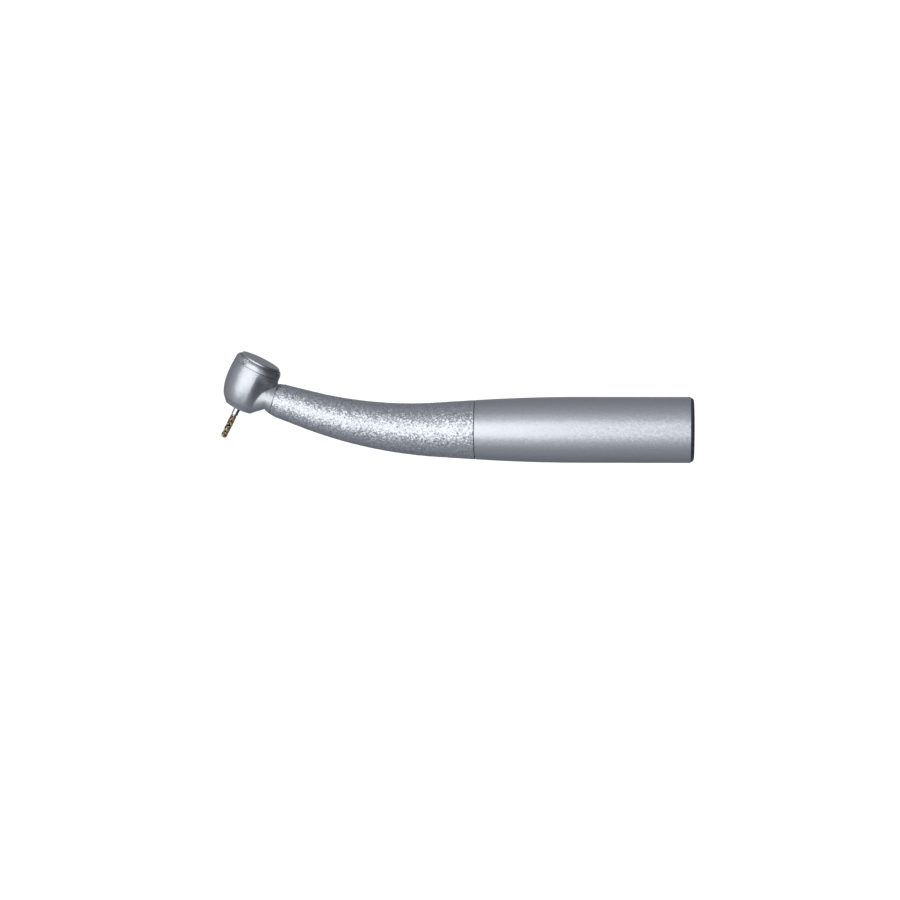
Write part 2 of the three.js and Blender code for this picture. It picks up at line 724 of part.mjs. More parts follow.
function gripSleeve() {
  const start = MID_SEAM + SEAM_GAP / 2;
  const roundStart = FRONT_SEAM - FRONT_ROUND_LENGTH;
  return alongHandle(turned([
    [JOINT_BORE, start],
    ...skin(start, roundStart, 0, 9),
    FRONT_EDGE_SHOULDER,
    [FRONT_SEAM_RADIUS, FRONT_SEAM],
    [NECK_SOCKET_RADIUS, FRONT_SEAM],
    [NECK_SOCKET_RADIUS, NECK_SOCKET_START],
    ...skin(NECK_SOCKET_START - 2, JOINT_TAPER_END, SLEEVE_WALL, 6),
    [JOINT_BORE, JOINT_END],
  ], LARGE));
}

function tailRing() {
  return turned([
    [TAIL_BAND.bore, 0],
    [TAIL_BAND.faceRadius, 0],
    TAIL_BAND.shoulder,
    [TAIL_BAND.radius, TAIL_BAND.lip],
    [SOCKET_BODY_RADIUS, TAIL_BAND.lip],
    [SOCKET_BODY_RADIUS, TAIL_BAND.end],
    [TAIL_BAND.bore, TAIL_BAND.end],
  ], LARGE);
}

// The ring that both sleeves screw onto, with a groove for its O-ring.
const JOINT_GROOVE = { radius: 5.78, start: 55.6, end: 56.2 };
const JOINT_ORING = { middle: 6.0, wire: 0.21, distance: (JOINT_GROOVE.start + JOINT_GROOVE.end) / 2 };

function jointORing() {
  return oRing(JOINT_ORING.middle, JOINT_ORING.wire, JOINT_ORING.distance, LARGE);
}

function sleeveJointRing() {
  return turned([
    [JOINT_RING_BORE, JOINT_START + JOINT_RING_GAP],
    [JOINT_RING_RADIUS, JOINT_START + JOINT_RING_GAP],
    [JOINT_RING_RADIUS, JOINT_GROOVE.start],
    [JOINT_GROOVE.radius, JOINT_GROOVE.start],
    [JOINT_GROOVE.radius, JOINT_GROOVE.end],
    [JOINT_RING_RADIUS, JOINT_GROOVE.end],
    [JOINT_RING_RADIUS, JOINT_END - JOINT_RING_GAP],
    [JOINT_RING_BORE, JOINT_END - JOINT_RING_GAP],
  ], LARGE);
}

// ---------------------------------------------------------------- coupling socket

// Radial ports from the lines into the socket's front bore, by distance from the tail.
const PORTS = { water_tube: 21.5, spray_air_tube: 24.0 };
const EXHAUST = { radius: 1.1, distance: 14.0, count: 3 };

// A hole for one of the lines, drilled from the front face of a piece.
function lineHole(name, from, to, place) {
  const line = LINES[name];
  const hole = rod(line.outside + LINE_CLEARANCE, from, to, SMALL);
  return hole.translate(line[place][0], line[place][1], 0);
}

// A radial hole from the handle's axis outwards.
function radialHole(radius, angle, distance, reach) {
  const hole = rod(radius, 0, reach, SMALL);
  return hole.rotateY(Math.PI / 2).rotateZ(angle).translate(0, 0, distance);
}

const LIGHT_HOLE = LINES.light_guide_rod.outside + LINE_CLEARANCE;

function couplingBody() {
  const body = turned([
    [MOUTH_RADIUS, SOCKET_START],
    [SOCKET_BODY_RADIUS, SOCKET_START],
    [SOCKET_BODY_RADIUS, SOCKET_BODY_STEP],
    [SOCKET_NOSE_RADIUS, SOCKET_BODY_STEP],
    [SOCKET_NOSE_RADIUS, SOCKET_BODY_END],
    [LIGHT_HOLE, SOCKET_BODY_END],
    [LIGHT_HOLE, FRONT_BORE_END],
    [FRONT_BORE, FRONT_BORE_END],
    [FRONT_BORE, MAIN_BORE_END],
    [MAIN_BORE, MAIN_BORE_END],
    [MAIN_BORE, MOUTH_END],
    [MOUTH_RADIUS, MOUTH_END],
    [MOUTH_RADIUS, SNAP_GROOVE.end],
    [SNAP_GROOVE.radius, SNAP_GROOVE.end],
    [SNAP_GROOVE.radius, SNAP_GROOVE.start],
    [MOUTH_RADIUS, SNAP_GROOVE.start],
  ], LARGE);
  const holes = [lineHole('drive_air_tube', FRONT_BORE_END - 1, SOCKET_BODY_END + 1, 'rear')];
  for (const [name, distance] of Object.entries(PORTS)) {
    const [side, up] = LINES[name].rear;
    holes.push(lineHole(name, distance - 0.5, SOCKET_BODY_END + 1, 'rear'));
    holes.push(radialHole(LINES[name].inside, Math.atan2(up, side), distance, Math.hypot(side, up)));
  }
  for (let i = 0; i < EXHAUST.count; i += 1) {
    const angle = 2 * Math.PI * (i + 0.25) / EXHAUST.count;
    holes.push(radialHole(EXHAUST.radius, angle, EXHAUST.distance, SOCKET_BODY_RADIUS + 1));
  }
  return cut(body, holes);
}

const SNAP_RING = { inside: 5.62, outside: 6.2, gap: 0.15, opening: Math.PI / 5 };

// The open spring ring in the socket's groove, which clicks behind the coupling's collar.
function couplingSnapRing() {
  const { inside, outside, gap, opening } = SNAP_RING;
  return openRing(inside, outside, SNAP_GROOVE.start + gap, SNAP_GROOVE.end - gap, opening, LARGE);
}

// ---------------------------------------------------------------- lines in the handle

// The offset [side, up] of a line from the centreline at a distance from the tail.
function lineOffset(line, distance) {
  const share = THREE.MathUtils.smoothstep(distance, LINE_SHIFT_START, LINE_SHIFT_END);
  return line.rear.map((value, i) => THREE.MathUtils.lerp(value, line.front[i], share));
}

// A straight or bent line between two distances from the tail.
function handleLine(name, from, to) {
  const line = LINES[name];
  const steps = Math.max(1, Math.round((to - from) / LINE_STEP));
  const outer = tube(line.outside, from, to, steps);
  const outline = line.inside > 0
    ? [...outer, ...tube(line.inside, to, from, steps)]
    : [[0, from], ...outer, [0, to]];
  const geometry = turned(outline, SMALL);
  const position = geometry.attributes.position;
  for (let i = 0; i < position.count; i += 1) {
    const [side, up] = lineOffset(line, position.getZ(i));
    position.setX(i, position.getX(i) + side);
    position.setY(i, position.getY(i) + up);
  }
  return alongHandle(geometry);
}

function waterTube(from, to) {
  return handleLine('water_tube', from, to);
}

const LINE_START = SOCKET_BODY_END - LINE_SOCKET_DEPTH;
const VALVE = { start: 31.0, end: 38.0, radius: 1.15, room: 0.8, tubeDepth: 1.4, tubeReach: 1.3, seat: 2.6 };
const VALVE_FLAP = { radius: 0.7, start: 2.68, end: 2.9 };

// The non-return valve in the water line: a small body with a seat and a flap.
function checkValveBody() {
  const tubeBore = LINES.water_tube.outside + LINE_CLEARANCE;
  const [side, up] = LINES.water_tube.rear;
  const geometry = turned([
    [tubeBore, VALVE.start],
    [VALVE.radius, VALVE.start],
    [VALVE.radius, VALVE.end],
    [tubeBore, VALVE.end],
    [tubeBore, VALVE.end - VALVE.tubeDepth],
    [VALVE.room, VALVE.end - VALVE.tubeDepth],
    [VALVE.room, VALVE.start + VALVE.seat],
    [LINES.water_tube.inside, VALVE.start + VALVE.seat],
    [LINES.water_tube.inside, VALVE.start + VALVE.tubeDepth],
    [tubeBore, VALVE.start + VALVE.tubeDepth],
  ], SMALL);
  return geometry.translate(side, up, 0);
}

function checkValveFlap() {
  const [side, up] = LINES.water_tube.rear;
  const flap = rod(VALVE_FLAP.radius, VALVE.start + VALVE_FLAP.start, VALVE.start + VALVE_FLAP.end, SMALL);
  return flap.translate(side, up, 0);
}

// A plate that holds the lines apart in the grip sleeve.
const PLATE = { start: 84.0, end: 86.0, radius: 4.15 };

function tubeSupportPlate() {
  const holes = Object.keys(LINES).map((name) => lineHole(name, PLATE.start - 1, PLATE.end + 1, 'front'));
  return alongHandle(cut(rod(PLATE.radius, PLATE.start, PLATE.end, MEDIUM), holes));
}

// The core that fills the neck and carries the lines into the head.
function neckCore() {
  const back = NECK_CORE.start - 1;
  const names = ['drive_air_tube', 'spray_air_tube', 'water_tube'];
  const holes = names.map((name) => lineHole(name, back, NECK_CORE.end + 1, 'front'));
  holes.push(lineHole('light_guide_rod', back, LIGHT_ROD_END + 0.3, 'front'));
  const headAxis = FRONT_SEAM + SEAM_TO_HEAD_AXIS;
  const window = rod(WINDOW.radius + LINE_CLEARANCE, -WINDOW.length, WINDOW.length * 1.5, SMALL);
  window.rotateX(Math.PI / 2 - WINDOW.lean);
  window.translate(0, -WINDOW.down, headAxis - WINDOW.at);
  holes.push(window);
  return cut(rod(NECK_CORE.radius, NECK_CORE.start, NECK_CORE.end, MEDIUM), holes);
}

// ---------------------------------------------------------------- assembly

const FINISH = {
  satin: { color: 0xa9adb4, roughness: 0.35, metalness: 1.0 },
  grained: { color: 0x9fa3aa, roughness: 0.55, metalness: 0.9 },
  steel: { color: 0xc4c6c8, roughness: 0.25, metalness: 1.0 },
  brass: { color: 0xb9a06a, roughness: 0.35, metalness: 1.0 },
  black: { color: 0x17181a, roughness: 0.5, metalness: 0.0 },
  rubber: { color: 0x1d1d1f, roughness: 0.8, metalness: 0.0 },
  ceramic: { color: 0x2b2d31, roughness: 0.15, metalness: 0.0 },
  polymer: { color: 0x8a5a2b, roughness: 0.5, metalness: 0.0 },
  glass: { color: 0xe8eef2, roughness: 0.05, metalness: 0.0 },
  diamond: { color: 0xa8905a, roughness: 0.7, metalness: 0.4 },
};

const handpiece = new THREE.Group();

// Straight pieces of the handle: Z is the distance from the tail.
const tail = aim(
  new THREE.Group(),
  new THREE.Vector3(0, -1, 0),
  new THREE.Vector3(0, 0, 1),
  new THREE.Vector3(-1, 0, 0),
);

// Pieces of the neck, in the same way but along the neck's own straight axis.
const neckEnd = centreline(FRONT_SEAM);
const neck = aim(
  new THREE.Group(),
  new THREE.Vector3(0, -1, 0),
  new THREE.Vector3(Math.sin(BEND_ANGLE), 0, Math.cos(BEND_ANGLE)),
  new THREE.Vector3(-Math.cos(BEND_ANGLE), 0, Math.sin(BEND_ANGLE)),
);
neck.position.set(
  neckEnd.x + FRONT_SEAM * Math.cos(BEND_ANGLE),
  0,
  neckEnd.z - FRONT_SEAM * Math.sin(BEND_ANGLE),
);

// Pieces of the head: Z is the height above its lower face, X points to the neck.
const headCentre = centreline(FRONT_SEAM + SEAM_TO_HEAD_AXIS);
const head = new THREE.Group();
head.rotation.y = HEAD_TILT;
head.position.set(
  headCentre.x - NECK_HEIGHT * Math.sin(HEAD_TILT),
  0,
  headCentre.z - NECK_HEIGHT * Math.cos(HEAD_TILT),
);
handpiece.add(tail, neck, head);

function piece(group, name, geometry, finish) {
  const mesh = new THREE.Mesh(geometry, new THREE.MeshStandardMaterial(FINISH[finish]));
  mesh.name = name;
  group.add(mesh);
}

piece(head, 'head_housing', headHousing(), 'satin');
piece(head, 'head_cap', headCap(), 'satin');
piece(head, 'push_button', pushButton(), 'satin');
piece(head, 'button_clip', buttonClip(), 'steel');
piece(head, 'button_spring', waveWasher(BUTTON_SPRING), 'steel');
piece(head, 'rear_bearing_carrier', rearBearingCarrier(), 'steel');
piece(head, 'preload_washer', waveWasher(PRELOAD_WASHER), 'steel');
piece(head, 'front_bearing_oring', oRing(ORING.middle, ORING.wire, ORING.frontMiddle, MEDIUM), 'rubber');
piece(head, 'rear_bearing_oring', oRing(ORING.middle, ORING.wire, ORING.rearMiddle, MEDIUM), 'rubber');
for (const [place, bottom] of Object.entries(BEARING_BOTTOMS)) {
  piece(head, `${place}_bearing_outer_race`, outerRace(bottom), 'steel');
  piece(head, `${place}_bearing_inner_race`, innerRace(bottom), 'steel');
  piece(head, `${place}_bearing_cage`, bearingCage(bottom), 'polymer');
  ballAngles().forEach((angle, i) => {
    piece(head, `${place}_bearing_ball_${i + 1}`, bearingBall(angle, bottom), 'ceramic');
  });
}
piece(head, 'rotor_spindle', rotorSpindle(), 'steel');
piece(head, 'turbine_impeller', turbineImpeller(), 'steel');
piece(head, 'chuck_collet', chuckCollet(), 'steel');
piece(head, 'chuck_spring', chuckSpring(), 'steel');
piece(head, 'chuck_pusher', chuckPusher(), 'steel');
piece(head, 'bur_shank', burShank(), 'steel');
piece(head, 'bur_diamond_coating', burDiamondCoating(), 'diamond');
piece(head, 'light_window', windowRod(WINDOW.radius, -WINDOW.length / 2, WINDOW.length / 2), 'glass');

piece(neck, 'neck_core', neckCore(), 'brass');
piece(neck, 'neck_oring', oRing(NECK_ORING.middle, NECK_ORING.wire, NECK_ORING.distance, LARGE), 'rubber');

piece(handpiece, 'grip_sleeve', gripSleeve(), 'grained');
piece(handpiece, 'tube_support_plate', tubeSupportPlate(), 'brass');
piece(handpiece, 'drive_air_tube', handleLine('drive_air_tube', LINE_START, NECK_CORE.end), 'steel');
piece(handpiece, 'spray_air_tube', handleLine('spray_air_tube', LINE_START, NECK_CORE.end), 'steel');
piece(handpiece, 'water_tube_rear', waterTube(LINE_START, VALVE.start + VALVE.tubeReach), 'steel');
piece(handpiece, 'water_tube_front', waterTube(VALVE.end - VALVE.tubeReach, NECK_CORE.end), 'steel');
piece(handpiece, 'light_guide_rod', handleLine('light_guide_rod', LINE_START, LIGHT_ROD_END), 'glass');

piece(tail, 'rear_sleeve', rearSleeve(), 'satin');
piece(tail, 'tail_ring', tailRing(), 'black');
piece(tail, 'coupling_body', couplingBody(), 'steel');
piece(tail, 'coupling_snap_ring', couplingSnapRing(), 'steel');
piece(tail, 'sleeve_joint_ring', sleeveJointRing(), 'brass');
piece(tail, 'sleeve_joint_oring', jointORing(), 'rubber');
piece(tail, 'check_valve_body', checkValveBody(), 'brass');
piece(tail, 'check_valve_flap', checkValveFlap(), 'rubber');

export default handpiece;
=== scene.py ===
import json
import math

import bpy
import numpy as np
import openvdb
from mathutils import Matrix, Vector


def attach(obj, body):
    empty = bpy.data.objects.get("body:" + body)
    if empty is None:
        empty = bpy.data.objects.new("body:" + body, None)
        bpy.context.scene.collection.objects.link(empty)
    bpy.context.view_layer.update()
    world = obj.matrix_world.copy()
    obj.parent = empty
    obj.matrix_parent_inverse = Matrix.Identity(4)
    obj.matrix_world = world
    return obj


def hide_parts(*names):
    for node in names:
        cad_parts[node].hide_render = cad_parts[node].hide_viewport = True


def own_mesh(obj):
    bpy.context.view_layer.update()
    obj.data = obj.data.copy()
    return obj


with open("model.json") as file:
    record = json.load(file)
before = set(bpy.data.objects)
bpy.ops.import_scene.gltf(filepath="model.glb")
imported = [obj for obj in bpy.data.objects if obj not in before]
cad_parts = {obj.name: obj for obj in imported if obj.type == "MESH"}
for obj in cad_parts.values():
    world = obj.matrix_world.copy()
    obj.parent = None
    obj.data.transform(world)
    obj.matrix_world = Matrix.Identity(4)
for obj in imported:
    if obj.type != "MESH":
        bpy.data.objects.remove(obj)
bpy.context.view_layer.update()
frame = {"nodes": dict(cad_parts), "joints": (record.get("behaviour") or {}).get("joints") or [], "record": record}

# Shapes are worked out in millimetres and made in metres.
MM = 0.001
TAU = 2 * math.pi
SCENE = bpy.context.scene

# ------------------------------------------------------------------ camera

CAMERA_PLACE = Vector((-20.0, -600.0, 73.0))
CAMERA_AIM = Vector((-59.05, 0.0, -4.98))
CAMERA_ROLL = math.radians(-0.38)
CAMERA_LENS = 99.65
CAMERA_SENSOR = 36
CAMERA_NEAREST = 10.0


def make_camera():
    data = bpy.data.cameras.new("camera")
    data.lens = CAMERA_LENS
    data.sensor_width = CAMERA_SENSOR
    data.clip_start = CAMERA_NEAREST * MM
    camera = bpy.data.objects.new("camera", data)
    SCENE.collection.objects.link(camera)
    towards = (CAMERA_AIM - CAMERA_PLACE).to_track_quat("-Z", "Y").to_matrix().to_4x4()
    roll = Matrix.Rotation(CAMERA_ROLL, 4, "Z")
    camera.matrix_world = Matrix.Translation(CAMERA_PLACE * MM) @ towards @ roll
    SCENE.camera = camera


make_camera()

# ------------------------------------------------------------------ places in the frame

JOINTS = {joint["name"]: joint for joint in frame["joints"]}
HEAD_ORIGIN = np.array(JOINTS["rotor_spin"]["pos_m"]) / MM
HEAD_UP = np.array(JOINTS["rotor_spin"]["axis"])
HEAD_TILT = math.atan2(HEAD_UP[0], HEAD_UP[2])
HEAD_TO_NECK = np.array([HEAD_UP[2], 0.0, -HEAD_UP[0]])
SIDEWAYS = np.array([0.0, 1.0, 0.0])

# The handle is straight from its tail, then bends up, and its radius tapers towards the head.
STRAIGHT_LENGTH = 62.0
BEND_RADIUS = 105.0
BEND_ANGLE = math.radians(17.6)
HANDLE_RADIUS = 8.0
BLEND_START = 27.5
MID_SEAM = 52.9
MID_SEAM_RADIUS = 7.2
GRIP_TAPER = 2 * (HANDLE_RADIUS - MID_SEAM_RADIUS) / (MID_SEAM - BLEND_START)
FRONT_SEAM = 102.7
SEAM_TO_HEAD_AXIS = 7.25
SEAM_GAP = 0.12

# Heights on the head's axis, above the face that the bur comes out of.
NECK_HEIGHT = 4.68
HOUSING_TOP = 10.6
CAP_BOTTOM = 10.65
FLANGE_BOTTOM, FLANGE_TOP = 10.83, 11.13
CAP_TOP = 12.2
BUTTON_BOTTOM = 12.2
COLLET_TOP, PUSHER_BOTTOM = 6.4, 7.7


def in_head(points):
    """Points [to neck, sideways, up] of the head as points of the row frame."""
    return HEAD_ORIGIN + points @ np.array([HEAD_TO_NECK, SIDEWAYS, HEAD_UP])


def along_handle(points):
    """Points [side, up, distance from the tail] of the handle as points of the row frame."""
    side, up, distance = points.T
    turn = np.clip((distance - STRAIGHT_LENGTH) / BEND_RADIUS, 0, BEND_ANGLE)
    before = np.minimum(distance, STRAIGHT_LENGTH)
    after = np.maximum(distance - STRAIGHT_LENGTH - BEND_RADIUS * BEND_ANGLE, 0)
    x = -(before + BEND_RADIUS * np.sin(turn) + after * np.cos(turn)) + up * np.sin(turn)
    z = BEND_RADIUS * (1 - np.cos(turn)) + after * np.sin(turn) + up * np.cos(turn)
    return np.stack([x, -side, z], axis=1)


def handle_radius(distance):
    """Outer radius of the handle at a distance from the tail."""
    past_start = np.clip(distance - BLEND_START, 0, None)
    eased = HANDLE_RADIUS - GRIP_TAPER * past_start ** 2 / (2 * (MID_SEAM - BLEND_START))
    tapered = MID_SEAM_RADIUS - GRIP_TAPER * (distance - MID_SEAM)
    return np.where(distance < MID_SEAM, eased, tapered)


# ------------------------------------------------------------------ mesh code

# Edges sharper than this stay crisp.
CRISP_EDGE = math.radians(40)


def rounded(corners, closed=True, steps=5):
    """An outline with each corner (radius, height, rounding) turned into an arc."""
    outline = []
    count = len(corners)
    for i, (x, y, rounding) in enumerate(corners):
        here = np.array((x, y), float)
        if rounding == 0 or (not closed and i in (0, count - 1)):
            outline.append(here)
            continue
        back = np.array(corners[i - 1][:2], float) - here
        ahead = np.array(corners[(i + 1) % count][:2], float) - here
        back_length, ahead_length = np.linalg.norm(back), np.linalg.norm(ahead)
        back, ahead = back / back_length, ahead / ahead_length
        half = math.acos(np.clip(back @ ahead, -1, 1)) / 2
        reach = min(rounding / math.tan(half), 0.45 * back_length, 0.45 * ahead_length)
        centre = here + (back + ahead) / np.linalg.norm(back + ahead) * reach / math.cos(half)
        start, end = here + back * reach - centre, here + ahead * reach - centre
        sweep = math.atan2(start[0] * end[1] - start[1] * end[0], start @ end)
        for k in range(steps + 1):
            angle = sweep * k / steps
            turn = np.array([[math.cos(angle), -math.sin(angle)], [math.sin(angle), math.cos(angle)]])
            outline.append(centre + turn @ start)
    return np.array(outline)


def turned(outline, segments=128, closed=True, radius_at=None):
    """Points and faces of an outline of (radius, height) turned about Z.

    radius_at gives the angles to use and the radius of each outline point at each of them.
    """
    angles = np.arange(segments) * TAU / segments if radius_at is None else radius_at[0]
    rows = []
    points = []
    for i, (radius, height) in enumerate(outline):
        start = len(points)
        if radius < 1e-9:
            points.append((0, 0, height))
            rows.append([start] * len(angles))
            continue
        radii = np.full(len(angles), radius) if radius_at is None else radius_at[1][:, i]
        points.extend(zip(radii * np.cos(angles), radii * np.sin(angles), np.full(len(angles), height)))
        rows.append(list(range(start, start + len(angles))))
    faces = []
    pairs = list(zip(rows, rows[1:])) + ([(rows[-1], rows[0])] if closed else [])
    for low, high in pairs:
        for k in range(len(angles)):
            n = (k + 1) % len(angles)
            corner = [low[k], low[n], high[n], high[k]]
            face = [c for j, c in enumerate(corner) if c != corner[j - 1]]
            if len(face) > 2:
                faces.append(face)
    return np.array(points), faces


def swept_faces(rows, count):
    """Faces of a swept bar: its sides between rows of points, and its two ends."""
    faces = []
    for i in range(rows - 1):
        low, high = i * count, (i + 1) * count
        for k in range(count):
            n = (k + 1) % count
            faces.append([low + k, high + k, high + n, low + n])
    last = (rows - 1) * count
    faces.append(list(range(count)))
    faces.append([last + k for k in range(count)][::-1])
    return faces


def make(name, points, faces, body, node, slot, place=in_head, normals=None, sharp=True):
    """A mesh piece that rides on a body, stands for a CAD node and takes its slot's finish."""
    mesh = bpy.data.meshes.new(name)
    mesh.from_pydata((place(np.asarray(points, float)) * MM).tolist(), [], faces)
    mesh.validate()
    mesh.update()
    mesh.shade_smooth()
    piece = bpy.data.objects.new(name, mesh)
    SCENE.collection.objects.link(piece)
    if normals is not None:
        mesh.normals_split_custom_set_from_vertices(normals.tolist())
    elif sharp:
        mesh.set_sharp_from_angle(angle=CRISP_EDGE)
        weighted = piece.modifiers.new("weighted_normals", "WEIGHTED_NORMAL")
        weighted.keep_sharp = True
    mesh.materials.append(MATERIALS[slot])
    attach(piece, body)
    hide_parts(*([node] if isinstance(node, str) else node))
    return piece


# ------------------------------------------------------------------ materials


class Shader:
    """A material made of nodes, with a principled surface."""

    def __init__(self, name, **values):
        self.material = bpy.data.materials.new(name)
        self.material.use_nodes = True
        self.nodes = self.material.node_tree.nodes
        self.links = self.material.node_tree.links
        self.surface = self.nodes["Principled BSDF"]
        for socket, value in values.items():
            self.surface.inputs[socket.replace("_", " ")].default_value = value
        self.coordinates = self.add("ShaderNodeTexCoord").outputs["Object"]

    def add(self, kind, inputs=None, **settings):
        node = self.nodes.new(kind)
        for key, value in settings.items():
            setattr(node, key, value)
        for key, value in (inputs or {}).items():
            if isinstance(value, bpy.types.NodeSocket):
                self.links.new(value, node.inputs[key])
            else:
                node.inputs[key].default_value = value
        return node

    def noise(self, size, detail=2.0, roughness=0.5, distortion=0.0):
        """Noise whose grains are about this many metres across, from 0 to 1."""
        node = self.add("ShaderNodeTexNoise", {
            "Vector": self.coordinates, "Scale": 1 / size, "Detail": detail,
            "Roughness": roughness, "Distortion": distortion,
        })
        return node.outputs["Fac"]

    def cells(self, size, output="Color"):
        """Cells this many metres across, each with its own random colour."""
        node = self.add("ShaderNodeTexVoronoi", {"Vector": self.coordinates, "Scale": 1 / size})
        return node.outputs[output]

    def between(self, value, low, high, from_low=0.3, from_high=0.7):
        """A value spread out to run from low to high."""
        node = self.add("ShaderNodeMapRange", {
            "Value": value, "From Min": from_low, "From Max": from_high, "To Min": low, "To Max": high,
        })
        return node.outputs["Result"]

    def blend(self, factor, first, second):
        node = self.add("ShaderNodeMix", data_type="RGBA")
        self.links.new(factor, node.inputs[0])
        for socket, value in ((node.inputs[6], first), (node.inputs[7], second)):
            if isinstance(value, bpy.types.NodeSocket):
                self.links.new(value, socket)
            else:
                socket.default_value = (*value, 1)
        return node.outputs[2]

    def bump(self, height, depth, strength=1.0, over=None):
        inputs = {"Height": height, "Distance": depth, "Strength": strength}
        if over is not None:
            inputs["Normal"] = over
        return self.add("ShaderNodeBump", inputs).outputs["Normal"]

    def vector(self, operation, inputs):
        return self.add("ShaderNodeVectorMath", inputs, operation=operation).outputs[0]

    def tilted(self, size, amount):
        """The surface's normal, leaning a random way in each cell of this many metres."""
        centred = self.vector("SUBTRACT", {0: self.cells(size), 1: (0.5, 0.5, 0.5)})
        lean = self.vector("SCALE", {0: centred, "Scale": amount})
        normal = self.add("ShaderNodeNewGeometry").outputs["Normal"]
        return self.vector("NORMALIZE", {0: self.vector("ADD", {0: normal, 1: lean})})

    def feed(self, socket, value):
        self.links.new(value, self.surface.inputs[socket])


def satin_metal():
    """Blasted steel: each fine facet leans its own way, so it glitters a little."""
    shade = Shader("satin_metal", Metallic=1.0, Roughness=0.36)
    tint = shade.noise(0.0004, detail=4, roughness=0.7)
    colour = shade.blend(shade.between(tint, 0, 1), (0.545, 0.562, 0.592), (0.63, 0.645, 0.672))
    shade.feed("Base Color", colour)
    shade.feed("Roughness", shade.between(shade.noise(0.0005, detail=3), 0.345, 0.385))
    fine = shade.tilted(0.00028, 0.075)
    shade.feed("Normal", shade.bump(shade.noise(0.00016, detail=2), 0.000004, 0.55, over=fine))
    return shade.material


def grained_metal():
    """The grip's coarse grain: steep facets that sparkle."""
    shade = Shader("grained_metal", Metallic=1.0, Roughness=0.33)
    flecks = shade.noise(0.00034, detail=3, roughness=0.7)
    tint = shade.between(flecks, 0, 1, 0.35, 0.65)
    shade.feed("Base Color", shade.blend(tint, (0.49, 0.506, 0.538), (0.745, 0.761, 0.793)))
    shade.feed("Roughness", shade.between(shade.noise(0.0007, detail=4), 0.24, 0.38))
    facets = shade.tilted(0.00033, 0.40)
    pits = shade.noise(0.00022, detail=2, roughness=0.6)
    shade.feed("Normal", shade.bump(pits, 0.00004, 0.6, over=facets))
    return shade.material


def polished_steel():
    shade = Shader("polished_steel", Metallic=1.0, Roughness=0.2)
    tint = shade.noise(0.0015, detail=3)
    shade.feed("Base Color", shade.blend(shade.between(tint, 0, 1), (0.60, 0.60, 0.60), (0.70, 0.70, 0.71)))
    shade.feed("Roughness", shade.between(shade.noise(0.0006, detail=4), 0.16, 0.27))
    shade.feed("Normal", shade.bump(shade.noise(0.00009, detail=2), 0.000002, 0.4))
    return shade.material


def warm_metal(name, dark, light, roughness):
    shade = Shader(name, Metallic=1.0, Roughness=roughness)
    shade.feed("Base Color", shade.blend(shade.between(shade.noise(0.0012, detail=4), 0, 1), dark, light))
    wear = shade.noise(0.0005, detail=4)
    shade.feed("Roughness", shade.between(wear, roughness - 0.06, roughness + 0.08))
    shade.feed("Normal", shade.bump(shade.noise(0.0001, detail=2), 0.000003, 0.5))
    return shade.material


def dull(name, dark, light, roughness, grain=0.00012):
    shade = Shader(name, Metallic=0.0, Roughness=roughness)
    shade.feed("Base Color", shade.blend(shade.between(shade.noise(0.0009, detail=4), 0, 1), dark, light))
    wear = shade.noise(0.0004, detail=3)
    shade.feed("Roughness", shade.between(wear, roughness - 0.07, roughness + 0.08))
    shade.feed("Normal", shade.bump(shade.noise(grain, detail=3), 0.000006, 0.5))
    return shade.material


def light_glass():
    shade = Shader("light_glass", Roughness=0.04, IOR=1.52, Transmission_Weight=0.85)
    tint = shade.between(shade.noise(0.0008), 0, 1)
    shade.feed("Base Color", shade.blend(tint, (0.86, 0.90, 0.92), (0.94, 0.97, 0.98)))
    shade.feed("Normal", shade.bump(shade.noise(0.0003, detail=2), 0.000002, 0.3))
    return shade.material


def diamond_grit():
    """Pale crystals set in dark metal."""
    shade = Shader("diamond_grit", Metallic=0.9, Roughness=0.25)
    grains = shade.cells(0.00031)
    value = shade.add("ShaderNodeSeparateColor", {"Color": grains}).outputs["Red"]
    colour = shade.blend(shade.between(value, 0, 1, 0.15, 0.85), (0.02, 0.014, 0.009), (0.78, 0.66, 0.43))
    shade.feed("Base Color", colour)
    shade.feed("Roughness", shade.between(value, 0.45, 0.2))
    facets = shade.tilted(0.00031, 0.9)
    shade.feed("Normal", shade.bump(shade.cells(0.00012, "Distance"), 0.00004, 0.8, over=facets))
    return shade.material


MATERIALS = {
    "satin_metal": satin_metal(),
    "grained_metal": grained_metal(),
    "polished_steel": polished_steel(),
    "aluminium_bronze": warm_metal("aluminium_bronze", (0.50, 0.36, 0.17), (0.66, 0.50, 0.27), 0.3),
    "brass": warm_metal("brass", (0.42, 0.35, 0.22), (0.56, 0.48, 0.32), 0.3),
    "black_polymer": dull("black_polymer", (0.012, 0.012, 0.014), (0.028, 0.028, 0.031), 0.42),
    "rubber_seal": dull("rubber_seal", (0.012, 0.012, 0.013), (0.03, 0.03, 0.031), 0.6),
    "ceramic": dull("ceramic", (0.03, 0.03, 0.034), (0.06, 0.06, 0.066), 0.16),
    "cage_polymer": dull("cage_polymer", (0.20, 0.10, 0.035), (0.30, 0.16, 0.06), 0.45),
    "light_glass": light_glass(),
    "diamond_grit": diamond_grit(),
}

# ------------------------------------------------------------------ head housing

NECK_RISE = HEAD_TILT - BEND_ANGLE
NECK_STUB_START = 2.2
NECK_STUB_END = SEAM_TO_HEAD_AXIS - SEAM_GAP / 2
NECK_CREASE = 0.16

